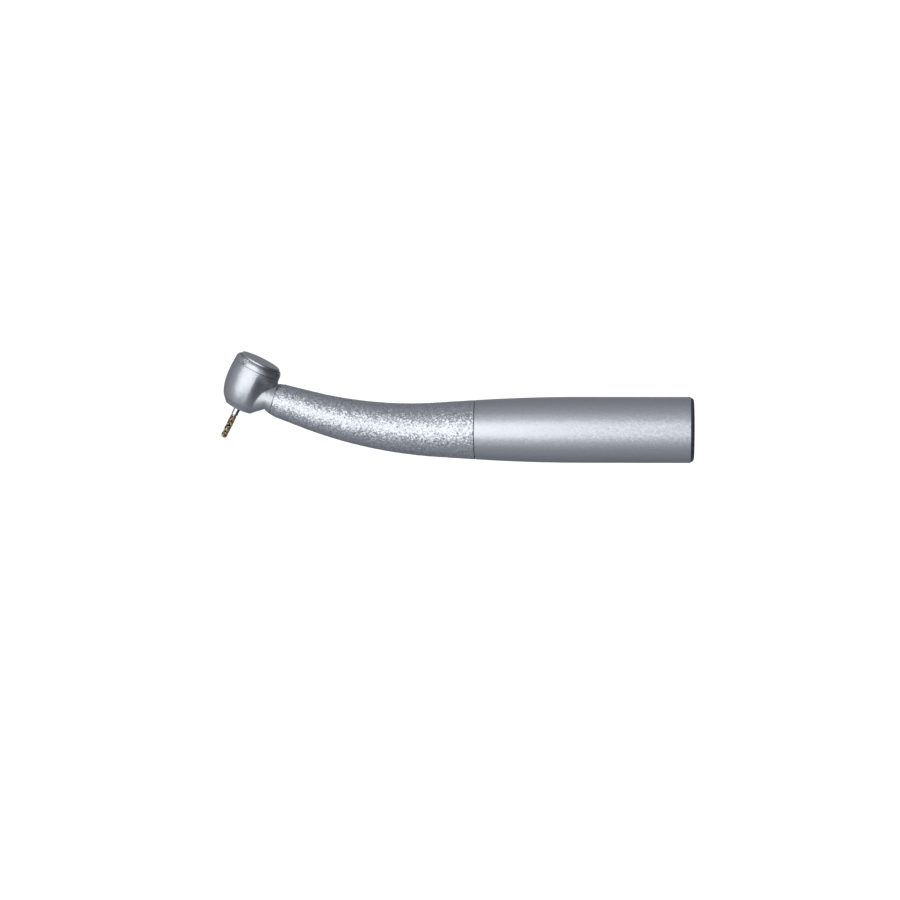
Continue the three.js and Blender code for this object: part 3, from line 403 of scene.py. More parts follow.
# The neck's outline at distances from the head's axis: how far it reaches, and its squareness.
NECK_REACH = {
    "at": (2.0, 2.6, 3.5, 4.6, 5.1, 5.6, 6.3, 7.2, 8.0),
    "side": (4.25, 4.22, 4.16, 4.06, 4.02, 3.98, 3.93, 3.85, 3.85),
    "above": (4.8, 4.7, 4.5, 4.25, 4.0, 3.88, 3.82, 3.85, 3.9),
    "below": (4.5, 4.3, 4.25, 3.8, 3.45, 3.1, 3.5, 3.82, 4.0),
    "power": (2.3, 2.3, 2.3, 2.2, 2.15, 2.1, 2.05, 2.0, 2.0),
}


def bezier(start, control, end, steps):
    t = np.linspace(0, 1, steps + 1)[:, None]
    return (1 - t) ** 2 * np.array(start) + 2 * t * (1 - t) * np.array(control) + t ** 2 * np.array(end)


NECK_SPIGOT = {"radius": 3.2, "from": 6.0, "to": 12.45}
NECK_GROOVE = {"radius": 2.92, "at": 8.65, "half": 0.25}
NECK_BORE = {"radius": 2.6, "from": 4.3}
WINDOW = {"radius": 0.75, "gap": 0.05, "depth": 1.6, "at": 6.72, "down": 2.83, "lean": 0.41}
SPRAY_OUTLET = {"place": 2.62 / math.sqrt(2), "radius": 0.25, "depth": 0.6}
CAP_FADE = 2.4
NECK_SIDE_BULGE = 0.055
NECK_SIDE_PINCH = {"from": 1.2, "over": 2.8, "by": 0.12}

# The housing's outside, and the room inside it: both are outlines turned about the head's axis.
BARREL = np.vstack([
    [(0.0, 0.0), (3.3, 0.0)],
    bezier((4.6, 1.5), (6.03, 3.9), (6.03, 8.1), 12),
    bezier((6.03, 8.1), (6.03, 9.4), (5.94, HOUSING_TOP), 6)[1:],
    [(0.0, HOUSING_TOP)],
])
ROOM = np.array([
    (0, -1), (2.0, -1), (2.0, 1.0), (3.3, 1.0), (3.3, 2.15), (3.85, 2.15), (3.85, 3.05), (3.3, 3.05),
    (3.3, 4.0), (4.6, 4.0), (4.6, 8.5), (5.04, 8.5), (5.04, 11.6), (0, 11.6),
], float)


def outline_distance(outline, low, high, step=0.04):
    """A table of signed distances to a turned outline, and a function that looks it up."""
    radii = np.arange(0, high[0] + step, step)
    heights = np.arange(low[1], high[1] + step, step)
    r, h = np.meshgrid(radii, heights, indexing="ij")
    mirrored = np.vstack([outline, (outline * (-1, 1))[::-1]]) if outline[0, 0] == 0 else outline
    nearest = np.full(r.shape, np.inf)
    inside = np.zeros(r.shape, bool)
    for a, b in zip(mirrored, np.roll(mirrored, -1, axis=0)):
        edge = b - a
        length = edge @ edge
        if length < 1e-12:
            continue
        t = np.clip(((r - a[0]) * edge[0] + (h - a[1]) * edge[1]) / length, 0, 1)
        away = np.hypot(r - a[0] - t * edge[0], h - a[1] - t * edge[1])
        on_axis = abs(a[0]) < 1e-9 and abs(b[0]) < 1e-9
        nearest = nearest if on_axis else np.minimum(nearest, away)
        crosses = (a[1] > h) != (b[1] > h)
        with np.errstate(divide="ignore", invalid="ignore"):
            inside ^= crosses & (r < a[0] + edge[0] * (h - a[1]) / edge[1])
    table = np.where(inside, -nearest, nearest)

    def look_up(radius, height):
        i = np.clip(radius / step, 0, len(radii) - 1.001)
        j = np.clip((height - heights[0]) / step, 0, len(heights) - 1.001)
        i0, j0 = i.astype(int), j.astype(int)
        u, v = i - i0, j - j0
        lower = table[i0, j0] * (1 - u) + table[i0 + 1, j0] * u
        upper = table[i0, j0 + 1] * (1 - u) + table[i0 + 1, j0 + 1] * u
        return lower * (1 - v) + upper * v

    return look_up


def smooth_union(a, b, reach):
    h = np.clip(0.5 + 0.5 * (b - a) / reach, 0, 1)
    return b + (a - b) * h - reach * h * (1 - h)


def smooth_cubic(at, values, x):
    """A smooth curve through values, with its slopes from the neighbours."""
    at, values = np.array(at), np.array(values)
    slopes = np.gradient(values, at)
    i = np.clip(np.searchsorted(at, x) - 1, 0, len(at) - 2)
    width = at[i + 1] - at[i]
    t = np.clip((x - at[i]) / width, 0, 1)
    h00, h10 = 2 * t ** 3 - 3 * t ** 2 + 1, t ** 3 - 2 * t ** 2 + t
    return (h00 * values[i] + h10 * width * slopes[i]
            + (1 - h00) * values[i + 1] + (t ** 3 - t ** 2) * width * slopes[i + 1])


barrel_distance = outline_distance(BARREL, (0, -2), (14, 14))
room_distance = outline_distance(ROOM, (0, -2), (14, 14))


def housing_distance(points):
    """Signed distance to the head housing's surface, in the head's frame."""
    x, y, h = points
    fade = np.clip((HOUSING_TOP - h) / CAP_FADE, 0, 1)
    fade = fade * fade * (3 - 2 * fade)
    swell = 1 + NECK_SIDE_BULGE * fade
    near_neck = np.clip((x - NECK_SIDE_PINCH["from"]) / NECK_SIDE_PINCH["over"], 0, 1)
    pinch = 1 - NECK_SIDE_PINCH["by"] * fade * near_neck * near_neck * (3 - 2 * near_neck)
    body = barrel_distance(np.hypot(np.where(x > 0, x / swell, x), y / pinch), h)

    cos, sin = math.cos(NECK_RISE), math.sin(NECK_RISE)
    along = x * cos + (h - NECK_HEIGHT) * sin
    up = -x * sin + (h - NECK_HEIGHT) * cos
    side_reach = smooth_cubic(NECK_REACH["at"], NECK_REACH["side"], along)
    up_reach = np.where(
        up > 0,
        smooth_cubic(NECK_REACH["at"], NECK_REACH["above"], along),
        smooth_cubic(NECK_REACH["at"], NECK_REACH["below"], along),
    )
    power = smooth_cubic(NECK_REACH["at"], NECK_REACH["power"], along)
    across = np.abs(y / side_reach) + 1e-9
    upward = np.abs(up / up_reach) + 1e-9
    share = (across ** power + upward ** power) ** (1 / power)
    slope = np.hypot(
        (across / share) ** (power - 1) / side_reach,
        (upward / share) ** (power - 1) / up_reach,
    )
    stub = np.maximum((share - 1) / slope, np.maximum(along - NECK_STUB_END, NECK_STUB_START - along))
    outside = smooth_union(body, stub, NECK_CREASE)
    outside = np.maximum(outside, along - NECK_STUB_END)

    radius = np.hypot(y, up)
    ends = np.maximum(NECK_SPIGOT["from"] - along, along - NECK_SPIGOT["to"])
    spigot = np.maximum(radius - NECK_SPIGOT["radius"], ends)
    beside_groove = np.abs(along - NECK_GROOVE["at"]) - NECK_GROOVE["half"]
    groove = np.maximum(NECK_GROOVE["radius"] - radius, beside_groove)
    bore = np.maximum(radius - NECK_BORE["radius"], NECK_BORE["from"] - along)
    window_up = up + WINDOW["down"]
    leaning = (along - WINDOW["at"]) * math.cos(WINDOW["lean"]) - window_up * math.sin(WINDOW["lean"])
    window_wall = np.hypot(y, leaning) - WINDOW["radius"] - WINDOW["gap"]
    window = np.maximum(window_wall, np.abs(window_up) - WINDOW["depth"])
    place = SPRAY_OUTLET["place"]
    outlet_wall = np.hypot(np.abs(x) - place, np.abs(y) - place) - SPRAY_OUTLET["radius"]
    outlets = np.maximum(outlet_wall, h - SPRAY_OUTLET["depth"])
    whole = np.maximum(np.minimum(outside, spigot), -groove)
    holes = np.minimum(np.minimum(room_distance(np.hypot(x, y), h), bore), np.minimum(window, outlets))
    return np.maximum(whole, -holes)


def surface_of(distance, low, high, voxel):
    """Points, faces and normals of the surface where a signed distance is nought."""
    axes = [np.arange(a, b, voxel) for a, b in zip(low, high)]
    grid_points = np.meshgrid(*axes, indexing="ij")
    values = distance(grid_points).astype(np.float32)
    grid = openvdb.FloatGrid()
    grid.copyFromArray(values, tolerance=0)
    points, faces = grid.convertToQuads()
    points = points * voxel + np.array(low)
    # The points of the grid are walked onto the true surface.
    step = 0.01
    for _ in range(3):
        here = distance(points.T)
        slope = np.stack([
            (distance((points + step * axis).T) - distance((points - step * axis).T)) / (2 * step)
            for axis in np.eye(3)
        ], axis=1)
        size = np.sum(slope ** 2, axis=1, keepdims=True) + 1e-6
        move = -here[:, None] * slope / size
        points = points + np.clip(move, -voxel / 2, voxel / 2)
    normals = slope / np.sqrt(size)
    return points, faces, normals


def head_housing():
    low, high = (-6.4, -6.2, -0.4), (13.2, 6.2, 11.4)
    points, faces, normals = surface_of(housing_distance, low, high, voxel=0.1)
    world_normals = normals @ np.array([HEAD_TO_NECK, SIDEWAYS, HEAD_UP])
    make("head_shell", points, faces.astype(int).tolist(), "handle", "head_housing",
         "satin_metal", normals=world_normals)


head_housing()

# ------------------------------------------------------------------ cap and button

CAP_NOTCH = {"count": 3, "half": 0.65, "floor": 5.42, "bottom": 10.8}
CAP_RADIUS = 5.94
CAP_MOUTH = 5.22


def head_cap():
    """The screwed cap ring, with round-bottomed notches for its wrench."""
    side = [(CAP_RADIUS, h, 0) for h in np.arange(10.72, 11.2, 0.06)]
    edge = bezier((CAP_RADIUS, 11.2), (5.93, 11.65), (5.80, 11.86), 9)
    outline = rounded([
        (4.62, 8.6, 0.05), (4.98, 8.6, 0.05), (4.98, CAP_BOTTOM, 0), (CAP_RADIUS, CAP_BOTTOM, 0.03),
        *side, *[(r, h, 0) for r, h in edge], (5.56, CAP_TOP, 0.08),
        (CAP_MOUTH, CAP_TOP, 0.04), (CAP_MOUTH, FLANGE_TOP, 0.05), (1.95, FLANGE_TOP, 0.05),
        (1.95, FLANGE_BOTTOM, 0.05), (4.62, FLANGE_BOTTOM, 0.1),
    ])
    reach = CAP_NOTCH["half"] / CAP_NOTCH["floor"]
    middles = np.arange(CAP_NOTCH["count"]) * TAU / CAP_NOTCH["count"]
    angles = np.arange(192) * TAU / 192 + 0.003
    fine = np.concatenate([np.linspace(-reach, reach, 25), [-reach - 0.002, reach + 0.002]])
    angles = np.sort(np.concatenate([angles, (middles[:, None] + fine).ravel()]) % TAU)
    radii = np.tile(outline[:, 0], (len(angles), 1))
    across = np.abs((angles[:, None] - middles + math.pi) % TAU - math.pi).min(axis=1) * CAP_NOTCH["floor"]
    across = across[:, None]
    half, floor = CAP_NOTCH["half"], CAP_NOTCH["floor"]
    lowest = CAP_NOTCH["bottom"] + half - np.sqrt(np.clip(half ** 2 - across ** 2, 0, None))
    cut = (across <= half + 1e-6) & (outline[:, 1] > lowest) & (outline[:, 0] > floor)
    radii = np.where(cut, floor, radii)
    points, faces = turned(outline, radius_at=(angles, radii))
    make("cap_ring", points, faces, "handle", "head_cap", "satin_metal")


def push_button():
    outline = rounded([
        (0, 10.3, 0), (0.9, 10.3, 0.1), (0.9, 10.5, 0.05), (1.85, 10.5, 0.05), (1.85, 10.55, 0),
        (1.5, 10.55, 0), (1.5, 10.75, 0), (1.85, 10.75, 0), (1.85, BUTTON_BOTTOM, 0.2),
        (5.1, BUTTON_BOTTOM, 0.06), (5.1, 12.6, 0.05), (4.87, 12.83, 0.05), (3.0, 12.87, 1.0),
        (0, 12.88, 0),
    ], closed=False)
    points, faces = turned(outline, segments=192, closed=False)
    make("button_disc", points, faces, "button", "push_button", "satin_metal")


head_cap()
push_button()

# ------------------------------------------------------------------ bur


def softened(values, passes):
    """Random heights smoothed with their neighbours, with a spread of one."""
    for _ in range(passes):
        values = sum(np.roll(values, shift, (0, 1)) for shift in ((0, 0), (1, 0), (0, 1), (1, 1))) / 4
    return (values - values.mean()) / values.std()


SEED = 20
SHANK_RADIUS, SHANK_TOP = 0.8, 9.1
GRIT = {"tip": -8.35, "top": -2.4, "radius": 0.70, "bore": 0.55, "rows": 150, "columns": 96}
GRIT_RELIEF = 0.05
GRIT_WAIST = {"depth": 0.07, "at": 1.45, "width": 0.22}


def bur():
    """A steel blank, and the layer of diamond grit over its working end."""
    shank = rounded([
        (0, -8.05, 0), (0.35, -7.9, 0.1), (0.5, -7.6, 0.1), (0.5, GRIT["top"], 0),
        (0.6, -2.34, 0.03), (0.6, -2.15, 0.05), (SHANK_RADIUS, -2.0, 0.05),
        (SHANK_RADIUS, SHANK_TOP - 0.2, 0.05), (0.6, SHANK_TOP, 0.05), (0, SHANK_TOP, 0),
    ], closed=False)
    points, faces = turned(shank, segments=64, closed=False)
    make("bur_blank", points, faces, "bur", "bur_shank", "polished_steel")

    tip, top, radius = GRIT["tip"], GRIT["top"], GRIT["radius"]
    quarter = np.linspace(0, 1, 26) * math.pi / 2
    profile = [(radius * math.sin(t), tip + radius - radius * math.cos(t)) for t in quarter]
    profile += [(radius, h) for h in np.linspace(tip + radius, top, GRIT["rows"])[1:]]
    profile += [(GRIT["bore"], top), (GRIT["bore"], tip + 0.52), (0.0, tip + 0.25)]
    profile = np.array(profile)
    columns = GRIT["columns"]
    generator = np.random.default_rng(SEED)
    grit = softened(generator.random((len(profile), columns)), 3)
    from_waist = (profile[:, 1:2] - tip - GRIT_WAIST["at"]) / GRIT_WAIST["width"]
    waist = GRIT_WAIST["depth"] * np.exp(-from_waist ** 2)
    radii = profile[:, :1] * (1 - waist) + grit * GRIT_RELIEF
    radii[-3:] = profile[-3:, :1]
    radii[0] = 0
    points, faces = turned(profile, closed=False, radius_at=(np.arange(columns) * TAU / columns, radii.T))
    make("diamond_layer", points, faces, "bur", "bur_diamond_coating", "diamond_grit", sharp=False)


bur()

# ------------------------------------------------------------------ sleeves

GRAIN_RELIEF = 0.014
SLEEVE_WALL = 0.8


def grip_sleeve():
    """The curved front sleeve, with its grain as fine relief over the outside."""
    around, start, end = 330, MID_SEAM + SEAM_GAP / 2, FRONT_SEAM
    outer = [(6.25, start + 0.02), (7.12, start), (7.19, start + 0.06)]
    distances = np.linspace(start + 0.14, end - 1.5, 350)
    outer += list(zip(handle_radius(distances), distances))
    front = bezier((float(handle_radius(end - 1.5)), end - 1.5), (4.0, end - 0.6), (3.86, end), 10)[1:]
    outer += [tuple(p) for p in front]
    grained = [3 <= i < len(outer) - 2 for i in range(len(outer))]
    inner = [(3.3, end), (3.3, 96.5)]
    inner_distances = np.linspace(94.5, 61, 30)
    inner += list(zip(handle_radius(inner_distances) - SLEEVE_WALL, inner_distances))
    inner += [(6.25, 58.2)]
    profile = np.array(outer + inner)
    generator = np.random.default_rng(SEED + 1)
    grain = softened(generator.random((len(profile), around)), 2)
    shown = np.array(grained + [False] * len(inner))[:, None]
    radii = profile[:, :1] + np.where(shown, grain * GRAIN_RELIEF, 0)
    points, faces = turned(profile, radius_at=(np.arange(around) * TAU / around, radii.T))
    make("grip_shell", points, faces, "handle", "grip_sleeve", "grained_metal",
         place=along_handle, sharp=False)


def rear_sleeve():
    end = MID_SEAM - SEAM_GAP / 2
    corners = [(7.2, 0.75, 0.05), (7.88, 0.75, 0.03), (7.97, 0.83, 0.04), (8.0, 0.95, 0.05)]
    distances = np.linspace(BLEND_START, end - 0.05, 40)
    corners += [(r, d, 0) for r, d in zip(handle_radius(distances), distances)]
    corners += [(7.13, end, 0.03), (6.25, end, 0.05), (6.25, 47.0, 0.1), (7.2, 34.0, 0.5)]
    points, faces = turned(rounded(corners), segments=192)
    make("rear_shell", points, faces, "handle", "rear_sleeve", "satin_metal", place=along_handle)


def tail_ring():
    corners = [(6.1, 0, 0.1), (7.2, 0, 0.2), (7.6, 0.25, 0.25), (7.8, 0.7, 0.05), (7.14, 0.7, 0.02),
               (7.14, 3.0, 0.05), (6.1, 3.0, 0.05)]
    points, faces = turned(rounded(corners), segments=192)
    make("tail_band", points, faces, "handle", "tail_ring", "black_polymer", place=along_handle)


grip_sleeve()
rear_sleeve()
tail_ring()

# ------------------------------------------------------------------ bearings and rotor

BEARING = {"bore": 1.5875, "outside": 3.175, "width": 2.38, "pitch": 2.38, "ball": 0.49, "groove": 0.55}
INNER_LAND, OUTER_LAND = 2.03, 2.72
BALL_COUNT = 7
BEARING_BOTTOMS = {"front": 1.4, "rear": 7.2}
CAGE = {"inside": 2.12, "outside": 2.64, "half": 0.75, "pocket": 0.54}


def lathe(name, corners, body, node, slot, place=in_head, segments=96, closed=True, offset=(0, 0)):
    points, faces = turned(rounded(corners, closed), segments=segments, closed=closed)
    return make(name, points + np.array([*offset, 0]), faces, body, node, slot, place)


def groove_arc(height, start, end):
    angles = np.linspace(start, end, 9)
    radii = BEARING["pitch"] + BEARING["groove"] * np.cos(angles)
    return [(r, h, 0) for r, h in zip(radii, height + BEARING["groove"] * np.sin(angles))]


def o_ring(name, middle, wire, height, node, place=in_head):
    angles = np.arange(20) * TAU / 20
    corners = [(middle + wire * math.cos(a), height + wire * math.sin(a), 0) for a in angles]
    lathe(name, corners, "handle", node, "rubber_seal", place)


def bearing(which):
    bottom = BEARING_BOTTOMS[which]
    top, middle = bottom + BEARING["width"], bottom + BEARING["width"] / 2
    reach = math.acos((OUTER_LAND - BEARING["pitch"]) / BEARING["groove"])
    lathe(f"{which}_outer_race", [
        (OUTER_LAND, bottom, 0.05), (BEARING["outside"], bottom, 0.12), (BEARING["outside"], top, 0.12),
        (OUTER_LAND, top, 0.05), *groove_arc(middle, reach, -reach),
    ], "handle", f"{which}_bearing_outer_race", "polished_steel")
    reach = math.acos((BEARING["pitch"] - INNER_LAND) / BEARING["groove"])
    lathe(f"{which}_inner_race", [
        (BEARING["bore"], bottom, 0.05), (INNER_LAND, bottom, 0.05),
        *groove_arc(middle, math.pi + reach, math.pi - reach),
        (INNER_LAND, top, 0.05), (BEARING["bore"], top, 0.05),
    ], "rotor", f"{which}_bearing_inner_race", "polished_steel")
    arc = np.linspace(-math.pi / 2, math.pi / 2, 15)
    outline = np.stack([BEARING["ball"] * np.cos(arc), BEARING["ball"] * np.sin(arc)], axis=1)
    outline[[0, -1], 0] = 0
    points, faces = turned(outline, segments=24, closed=False)
    for i in range(BALL_COUNT):
        angle = TAU * i / BALL_COUNT
        centre = (BEARING["pitch"] * math.cos(angle), BEARING["pitch"] * math.sin(angle), middle)
        make(f"{which}_ball_{i + 1}", points + centre, faces, f"{which}_cage",
             f"{which}_bearing_ball_{i + 1}", "ceramic", sharp=False)


def bearing_cage(which):
    middle = BEARING_BOTTOMS[which] + BEARING["width"] / 2

    def distance(points):
        x, y, h = points
        radius, up = np.hypot(x, y), h - middle
        walls = np.maximum(CAGE["inside"] - radius, radius - CAGE["outside"])
        body = np.maximum(walls, np.abs(up) - CAGE["half"])
        turn = TAU / BALL_COUNT
        angle = (np.arctan2(y, x) + turn / 2) % turn - turn / 2
        pocket = np.hypot(radius * np.sin(angle), up) - CAGE["pocket"]
        return np.maximum(body, -pocket)

    low, high = (-2.9, -2.9, middle - 0.95), (2.9, 2.9, middle + 1.0)
    points, faces, _ = surface_of(distance, low, high, voxel=0.07)
    make(f"{which}_ball_cage", points, faces.astype(int).tolist(), f"{which}_cage",
         f"{which}_bearing_cage", "cage_polymer", sharp=False)


def wave_washer(name, inside, outside, middle, thickness, rise, waves, node):
    low, high = middle - thickness / 2, middle + thickness / 2
    corners = [(inside, low, 0.03), (outside, low, 0.03), (outside, high, 0.03), (inside, high, 0.03)]
    points, faces = turned(rounded(corners), segments=144)
    points[:, 2] += rise * np.cos(waves * np.arctan2(points[:, 1], points[:, 0]))
    return make(name, points, faces, "handle", node, "polished_steel")


IMPELLER = {"blades": 12, "bore": 1.58, "hub": 2.2, "bottom": 3.83, "low": 4.25, "high": 6.85, "top": 7.15}

# One blade's edge as (radius, degrees round): a scooped front, a round tip and a steep back.
BLADE = [(2.7, -8), (3.1, -7.1), (3.5, -5.5), (3.95, -2.8), (4.3, 0),
         (4.3, 3.4), (3.95, 3.6), (3.5, 4.0), (3.1, 4.8), (2.7, 6)]


def impeller():
    """A round hub with the bladed rim between its ends: a row with no radius follows the blades."""
    blades = IMPELLER["blades"]
    edge = np.array([(r, TAU * i / blades + math.radians(a)) for i in range(blades) for r, a in BLADE])
    bore, hub = IMPELLER["bore"], IMPELLER["hub"]
    bottom, low, high, top = (IMPELLER[height] for height in ("bottom", "low", "high", "top"))
    rows = [(bore, bottom), (hub, bottom), (hub, low), (None, low),
            (None, high), (hub, high), (hub, top), (bore, top)]
    radii = np.stack([edge[:, 0] if r is None else np.full(len(edge), r) for r, _ in rows], axis=1)
    profile = np.array([(r or hub, height) for r, height in rows])
    points, faces = turned(profile, radius_at=(edge[:, 1], radii))
    make("impeller", points, faces, "rotor", "turbine_impeller", "aluminium_bronze")


def rotor():
    lathe("spindle", [
        (0.95, 0.1, 0.1), (1.55, 0.1, 0.15), (1.55, 9.6, 0.1),
        (1.25, 9.6, 0.05), (1.25, 1.4, 0.02), (0.95, 0.9, 0.02),
    ], "rotor", "rotor_spindle", "polished_steel")
    impeller()
    lathe("pusher_cup", [
        (0, 9.7, 0), (0.92, 9.7, 0.1), (0.92, PUSHER_BOTTOM, 0.03),
        (1.2, PUSHER_BOTTOM, 0.05), (1.2, 10.0, 0.12), (0, 10.0, 0),
    ], "pusher", "chuck_pusher", "polished_steel", closed=False)


def coil_spring():
    turns, wire, coil, sides, steps, clearance = 3, 0.09, 1.07, 10, 144, 0.05
    t = np.linspace(0, 1, steps + 1)
    angle = TAU * turns * t
    bottom, top = COLLET_TOP + wire + clearance, PUSHER_BOTTOM - wire - clearance
    centre = np.stack([coil * np.cos(angle), coil * np.sin(angle), bottom + (top - bottom) * t], axis=1)
    outward = np.stack([np.cos(angle), np.sin(angle), 0 * angle], axis=1)
    upward = np.array([0, 0, 1.0])
    section = np.arange(sides) * TAU / sides
    points = np.concatenate([c + wire * (np.cos(section)[:, None] * o + np.sin(section)[:, None] * upward)
                             for c, o in zip(centre, outward)])
    faces = swept_faces(steps + 1, sides)
    spring = make("coil", points, faces, "rotor", "chuck_spring", "polished_steel", sharp=False)
    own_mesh(spring)


def open_ring(name, section, opening, body, node, place=in_head):
    """A ring with a gap in it, from an outline of (radius, height, rounding) corners."""
    outline = rounded(section)
    angles = np.linspace(opening / 2, TAU - opening / 2, 121)
    count = len(outline)
    points = [(r * math.cos(a), r * math.sin(a), h) for a in angles for r, h in outline]
    faces = swept_faces(len(angles), count)
    return make(name, points, faces, body, node, "polished_steel", place)


for which in BEARING_BOTTOMS:
    bearing(which)
    bearing_cage(which)
o_ring("front_seal", 3.53, 0.31, 2.6, "front_bearing_oring")
o_ring("rear_seal", 3.53, 0.31, 8.4, "rear_bearing_oring")
lathe("carrier", [
    (2.95, 6.97, 0.03), (4.55, 6.97, 0.1), (4.55, 9.9, 0.1), (3.3, 9.9, 0.08), (3.3, 8.85, 0.03),
    (3.85, 8.85, 0.03), (3.85, 7.95, 0.03), (3.3, 7.95, 0.03), (3.3, 7.12, 0.03), (2.95, 7.12, 0.03),
], "handle", "rear_bearing_carrier", "polished_steel")
wave_washer("preload_wave", 2.2, 3.1, 1.2, 0.12, 0.08, 3, "preload_washer")
button_wave = wave_washer("button_wave", 2.7, 4.6, 11.67, 0.15, 0.35, 3, "button_spring")
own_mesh(button_wave)
open_ring("clip_ring", [(1.55, 10.57, 0.04), (2.5, 10.57, 0.04), (2.5, 10.73, 0.04), (1.55, 10.73, 0.04)],
          math.pi / 3, "button", "button_clip")
rotor()
coil_spring()

# ------------------------------------------------------------------ inside the handle

LINES = {
    "drive_air_tube": {"outside": 1.05, "inside": 0.8, "rear": (2.2, 0.8), "front": (1.0, 0.85)},
    "spray_air_tube": {"outside": 0.5, "inside": 0.33, "rear": (-3.81, 2.67), "front": (-1.15, 1.25)},
    "water_tube": {"outside": 0.5, "inside": 0.33, "rear": (-4.37, -1.59), "front": (-1.7, 0.0)},
    "light_guide_rod": {"outside": 0.95, "inside": 0, "rear": (0.0, 0.0), "front": (0.0, -1.35)},
}
LINE_CLEARANCE = 0.06
DRIVE_AIR_DEPTH = 25.0
PORTS = {"water_tube": 21.5, "spray_air_tube": 24.0}
PORT_OVERLAP = 0.5
EXHAUST = {"radius": 1.1, "distance": 14.0, "count": 3}
SOCKET_END, VALVE_START, VALVE_END = 29.0, 31.0, 38.0
VALVE_OVERLAP = 1.3
LINE_START, TUBE_END, ROD_END = SOCKET_END - 2, 104.7, 102.2
CROSSING = {"from": 44.0, "over": 38.0}


def handle_line(name, line, start, end, node, slot="polished_steel"):
    """A tube or rod along the handle, from its place at the rear over to its place at the front."""
    line = LINES[line]
    distances = np.linspace(start, end, max(2, int((end - start) / 1.2)))
    outer = [(line["outside"], d) for d in distances]
    inner = [(line["inside"], d) for d in distances[::-1]] if line["inside"] else []
    outline = outer + inner if inner else [(0, start), *outer, (0, end)]
    points, faces = turned(np.array(outline), segments=32, closed=bool(inner))
    share = np.clip((points[:, 2] - CROSSING["from"]) / CROSSING["over"], 0, 1)
    share = (share * share * (3 - 2 * share))[:, None]
    points[:, :2] += np.array(line["rear"]) * (1 - share) + np.array(line["front"]) * share
    make(name, points, faces, "handle", node, slot, place=along_handle)


def coupling_distance(points):
    """Signed distance to the socket body: a turned body with bores, ports and exhausts."""
    x, y, along = points
    radius = np.hypot(x, y)
    holes = []
    for name in ("drive_air_tube", "spray_air_tube", "water_tube"):
        side, up = LINES[name]["rear"]
        depth = DRIVE_AIR_DEPTH if name == "drive_air_tube" else PORTS[name] - PORT_OVERLAP
        hole = np.hypot(x - side, y - up) - LINES[name]["outside"] - LINE_CLEARANCE
        holes.append(np.maximum(hole, depth - along))
    for name, distance in PORTS.items():
        side, up = LINES[name]["rear"]
        reach = math.hypot(side, up)
        outward = (x * side + y * up) / reach
        beside = (y * side - x * up) / reach
        port = np.hypot(beside, along - distance) - LINES[name]["inside"]
        holes.append(np.maximum(port, np.maximum(-outward, outward - reach)))
    for i in range(EXHAUST["count"]):
        angle = TAU * (i + 0.25) / EXHAUST["count"]
        outward = x * math.cos(angle) + y * math.sin(angle)
        beside = y * math.cos(angle) - x * math.sin(angle)
        exhaust = np.hypot(beside, along - EXHAUST["distance"]) - EXHAUST["radius"]
        holes.append(np.maximum(exhaust, -outward))
    return np.maximum(socket_distance(radius, along), -np.minimum.reduce(holes))


# The socket's turned outline: a stepped outside, then the bores and the snap ring's groove.
SOCKET = np.array([
    (5.9, 3.1), (7.14, 3.1), (7.14, 24.0), (6.6, 24.0),
    (6.6, SOCKET_END), (1.01, SOCKET_END), (1.01, 26.0), (3.6, 26.0),
    (3.6, 19.0), (4.75, 19.0), (4.75, 8.0), (5.9, 8.0),
    (5.9, 5.7), (6.35, 5.7), (6.35, 4.6), (5.9, 4.6),
])
socket_distance = outline_distance(SOCKET, (0, 2), (9, 31))


def coupling_body():
    low, high = (-7.5, -7.5, 2.8), (7.5, 7.5, 29.4)
    points, faces, normals = surface_of(coupling_distance, low, high, voxel=0.19)
    world_normals = normals @ np.array([(0, -1, 0), (0, 0, 1), (-1, 0, 0)])
    make("socket_body", points, faces.astype(int).tolist(), "handle", "coupling_body", "polished_steel",
         place=along_handle, normals=world_normals)


coupling_body()
open_ring("snap_ring", [(5.62, 4.75, 0.1), (6.2, 4.75, 0.1), (6.2, 5.55, 0.1), (5.62, 5.55, 0.1)],
          math.pi / 5, "handle", "coupling_snap_ring", place=along_handle)
handle_line("drive_air_pipe", "drive_air_tube", LINE_START, TUBE_END, "drive_air_tube")
handle_line("spray_air_pipe", "spray_air_tube", LINE_START, TUBE_END, "spray_air_tube")
handle_line("rear_water_pipe", "water_tube", LINE_START, VALVE_START + VALVE_OVERLAP, "water_tube_rear")
handle_line("front_water_pipe", "water_tube", VALVE_END - VALVE_OVERLAP, TUBE_END, "water_tube_front")
handle_line("light_rod", "light_guide_rod", LINE_START, ROD_END, "light_guide_rod", "light_glass")
lathe("valve_shell", [
    (0.56, VALVE_START, 0.03), (1.15, VALVE_START, 0.1), (1.15, VALVE_END, 0.1), (0.56, VALVE_END, 0.03),
    (0.56, 36.6, 0.02), (0.8, 36.6, 0.02), (0.8, 33.6, 0.02), (0.33, 33.6, 0.02),
    (0.33, 32.4, 0.02), (0.56, 32.4, 0.02),
], "handle", "check_valve_body", "brass", place=along_handle, segments=40,
      offset=LINES["water_tube"]["rear"])
lathe("valve_disc", [(0, 33.68, 0), (0.7, 33.68, 0.05), (0.7, 33.9, 0.05), (0, 33.9, 0)], "handle",
      "check_valve_flap", "rubber_seal", place=along_handle, segments=40, closed=False,
      offset=LINES["water_tube"]["rear"])
lathe("joint_ring", [
    (5.5, 47.3, 0.1), (6.2, 47.3, 0.1), (6.2, 55.6, 0.05), (5.78, 55.6, 0.05),
    (5.78, 56.2, 0.05), (6.2, 56.2, 0.05), (6.2, 57.9, 0.1), (5.5, 57.9, 0.1),
], "handle", "sleeve_joint_ring", "brass", place=along_handle)
o_ring("joint_seal", 6.0, 0.21, 55.9, "sleeve_joint_oring", place=along_handle)

# ------------------------------------------------------------------ carried-over nodes

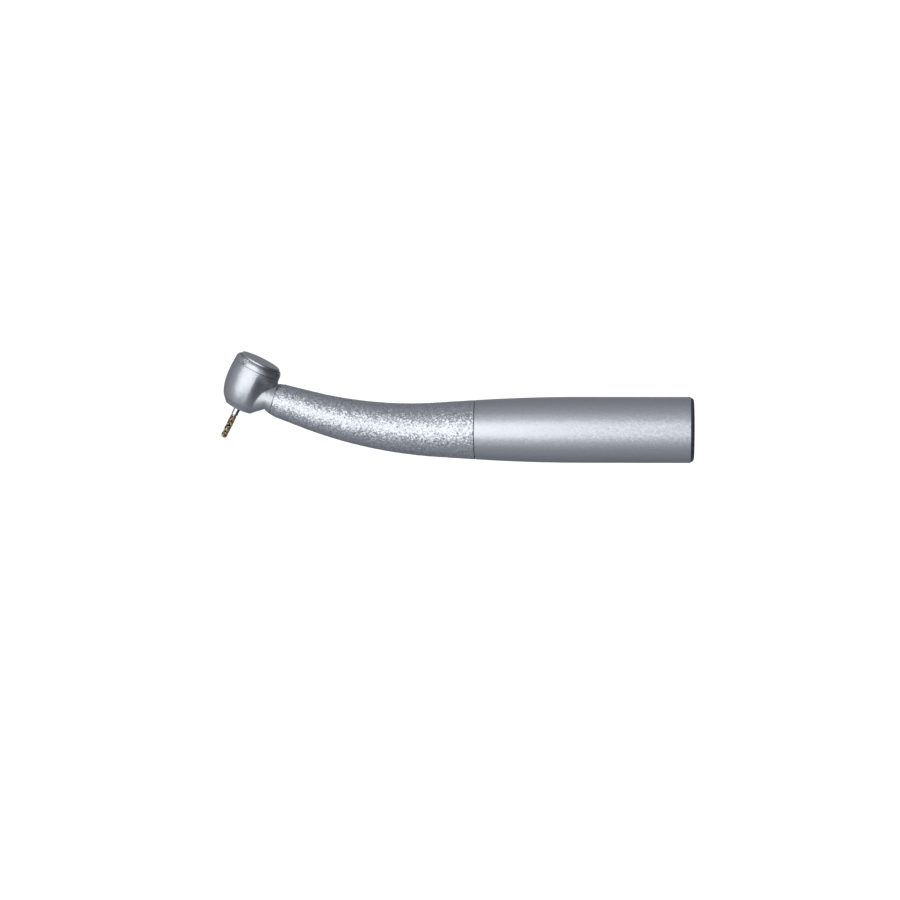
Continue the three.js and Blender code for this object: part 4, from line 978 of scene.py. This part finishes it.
SLOTS = {entry["node"]: entry["material_slot"] for entry in frame["record"]["subparts"]}
for name, node in frame["nodes"].items():
    node.data.materials.clear()
    node.data.materials.append(MATERIALS[SLOTS[name]])

# ------------------------------------------------------------------ studio


# Strengths of the white that surrounds the object, and of the darker room that its metal mirrors.
WHITE_LIGHT = 1.5
ROOM_TINT = (0.92, 0.96, 1.06)
ROOM_FRONT = 0.42
ROOM_BACK = 0.22
ROOM_RIGHT = 0.1
FRONT_LIGHT = 1.5
WIDE_LIGHT = 1.4


# The floor and the lights are laid out in metres.
FLOOR_REACH, FLOOR_LEVEL = 12.0, -0.16


def pale_floor():
    """A wide matt floor under the object, which its metal doesn't mirror."""
    material = bpy.data.materials.new("floor")
    material.use_nodes = True
    surface = material.node_tree.nodes["Principled BSDF"]
    surface.inputs["Base Color"].default_value = (0.92, 0.92, 0.92, 1)
    surface.inputs["Roughness"].default_value = 0.9
    surface.inputs["Specular IOR Level"].default_value = 0
    mesh = bpy.data.meshes.new("floor")
    corners = ((-1, -1), (1, -1), (1, 1), (-1, 1))
    points = [(x * FLOOR_REACH, y * FLOOR_REACH, FLOOR_LEVEL) for x, y in corners]
    mesh.from_pydata(points, [], [(0, 1, 2, 3)])
    mesh.materials.append(material)
    floor = bpy.data.objects.new("floor", mesh)
    floor.visible_glossy = False
    SCENE.collection.objects.link(floor)


def room():
    """White around the object to the eye, and a darker room, fading right and back, to its metal."""
    world = bpy.data.worlds.new("studio")
    SCENE.world = world
    world.use_nodes = True
    nodes, links = world.node_tree.nodes, world.node_tree.links
    mirrored = nodes["Background"]
    mirrored.inputs["Color"].default_value = (*ROOM_TINT, 1)
    direction = nodes.new("ShaderNodeSeparateXYZ")
    links.new(nodes.new("ShaderNodeTexCoord").outputs["Generated"], direction.inputs[0])

    def fade(axis, start, end, low, high):
        node = nodes.new("ShaderNodeMapRange")
        node.interpolation_type = "SMOOTHSTEP"
        for socket, value in (("From Min", start), ("From Max", end), ("To Min", low), ("To Max", high)):
            node.inputs[socket].default_value = value
        links.new(direction.outputs[axis], node.inputs["Value"])
        return node.outputs["Result"]

    strength = nodes.new("ShaderNodeMath")
    strength.operation = "MULTIPLY"
    links.new(fade("Y", -0.7, 0.9, ROOM_FRONT, ROOM_BACK), strength.inputs[0])
    links.new(fade("X", 0.15, 0.85, 1.0, ROOM_RIGHT), strength.inputs[1])
    links.new(strength.outputs[0], mirrored.inputs["Strength"])
    path = nodes.new("ShaderNodeLightPath")
    white = nodes.new("ShaderNodeBackground")
    white.inputs["Strength"].default_value = WHITE_LIGHT
    mix = nodes.new("ShaderNodeMixShader")
    links.new(path.outputs["Is Glossy Ray"], mix.inputs[0])
    links.new(white.outputs[0], mix.inputs[1])
    links.new(mirrored.outputs[0], mix.inputs[2])
    links.new(mix.outputs[0], nodes["World Output"].inputs["Surface"])


def soft_light(name, place, aim, size, power):
    data = bpy.data.lights.new(name, "AREA")
    data.shape = "RECTANGLE"
    data.size, data.size_y = size
    data.energy = power
    light = bpy.data.objects.new(name, data)
    light.location = place
    light.rotation_euler = (Vector(aim) - Vector(place)).to_track_quat("-Z", "Y").to_euler()
    SCENE.collection.objects.link(light)


pale_floor()
room()
soft_light("front_light", (-0.38, -0.5, 0.05), (-0.38, 0, 0.0), (0.83, 0.58), FRONT_LIGHT)
soft_light("wide_light", (-0.44, -0.52, 0.05), (-0.44, 0, 0.0), (0.96, 1.6), WIDE_LIGHT)
SCENE.view_settings.view_transform = "Standard"
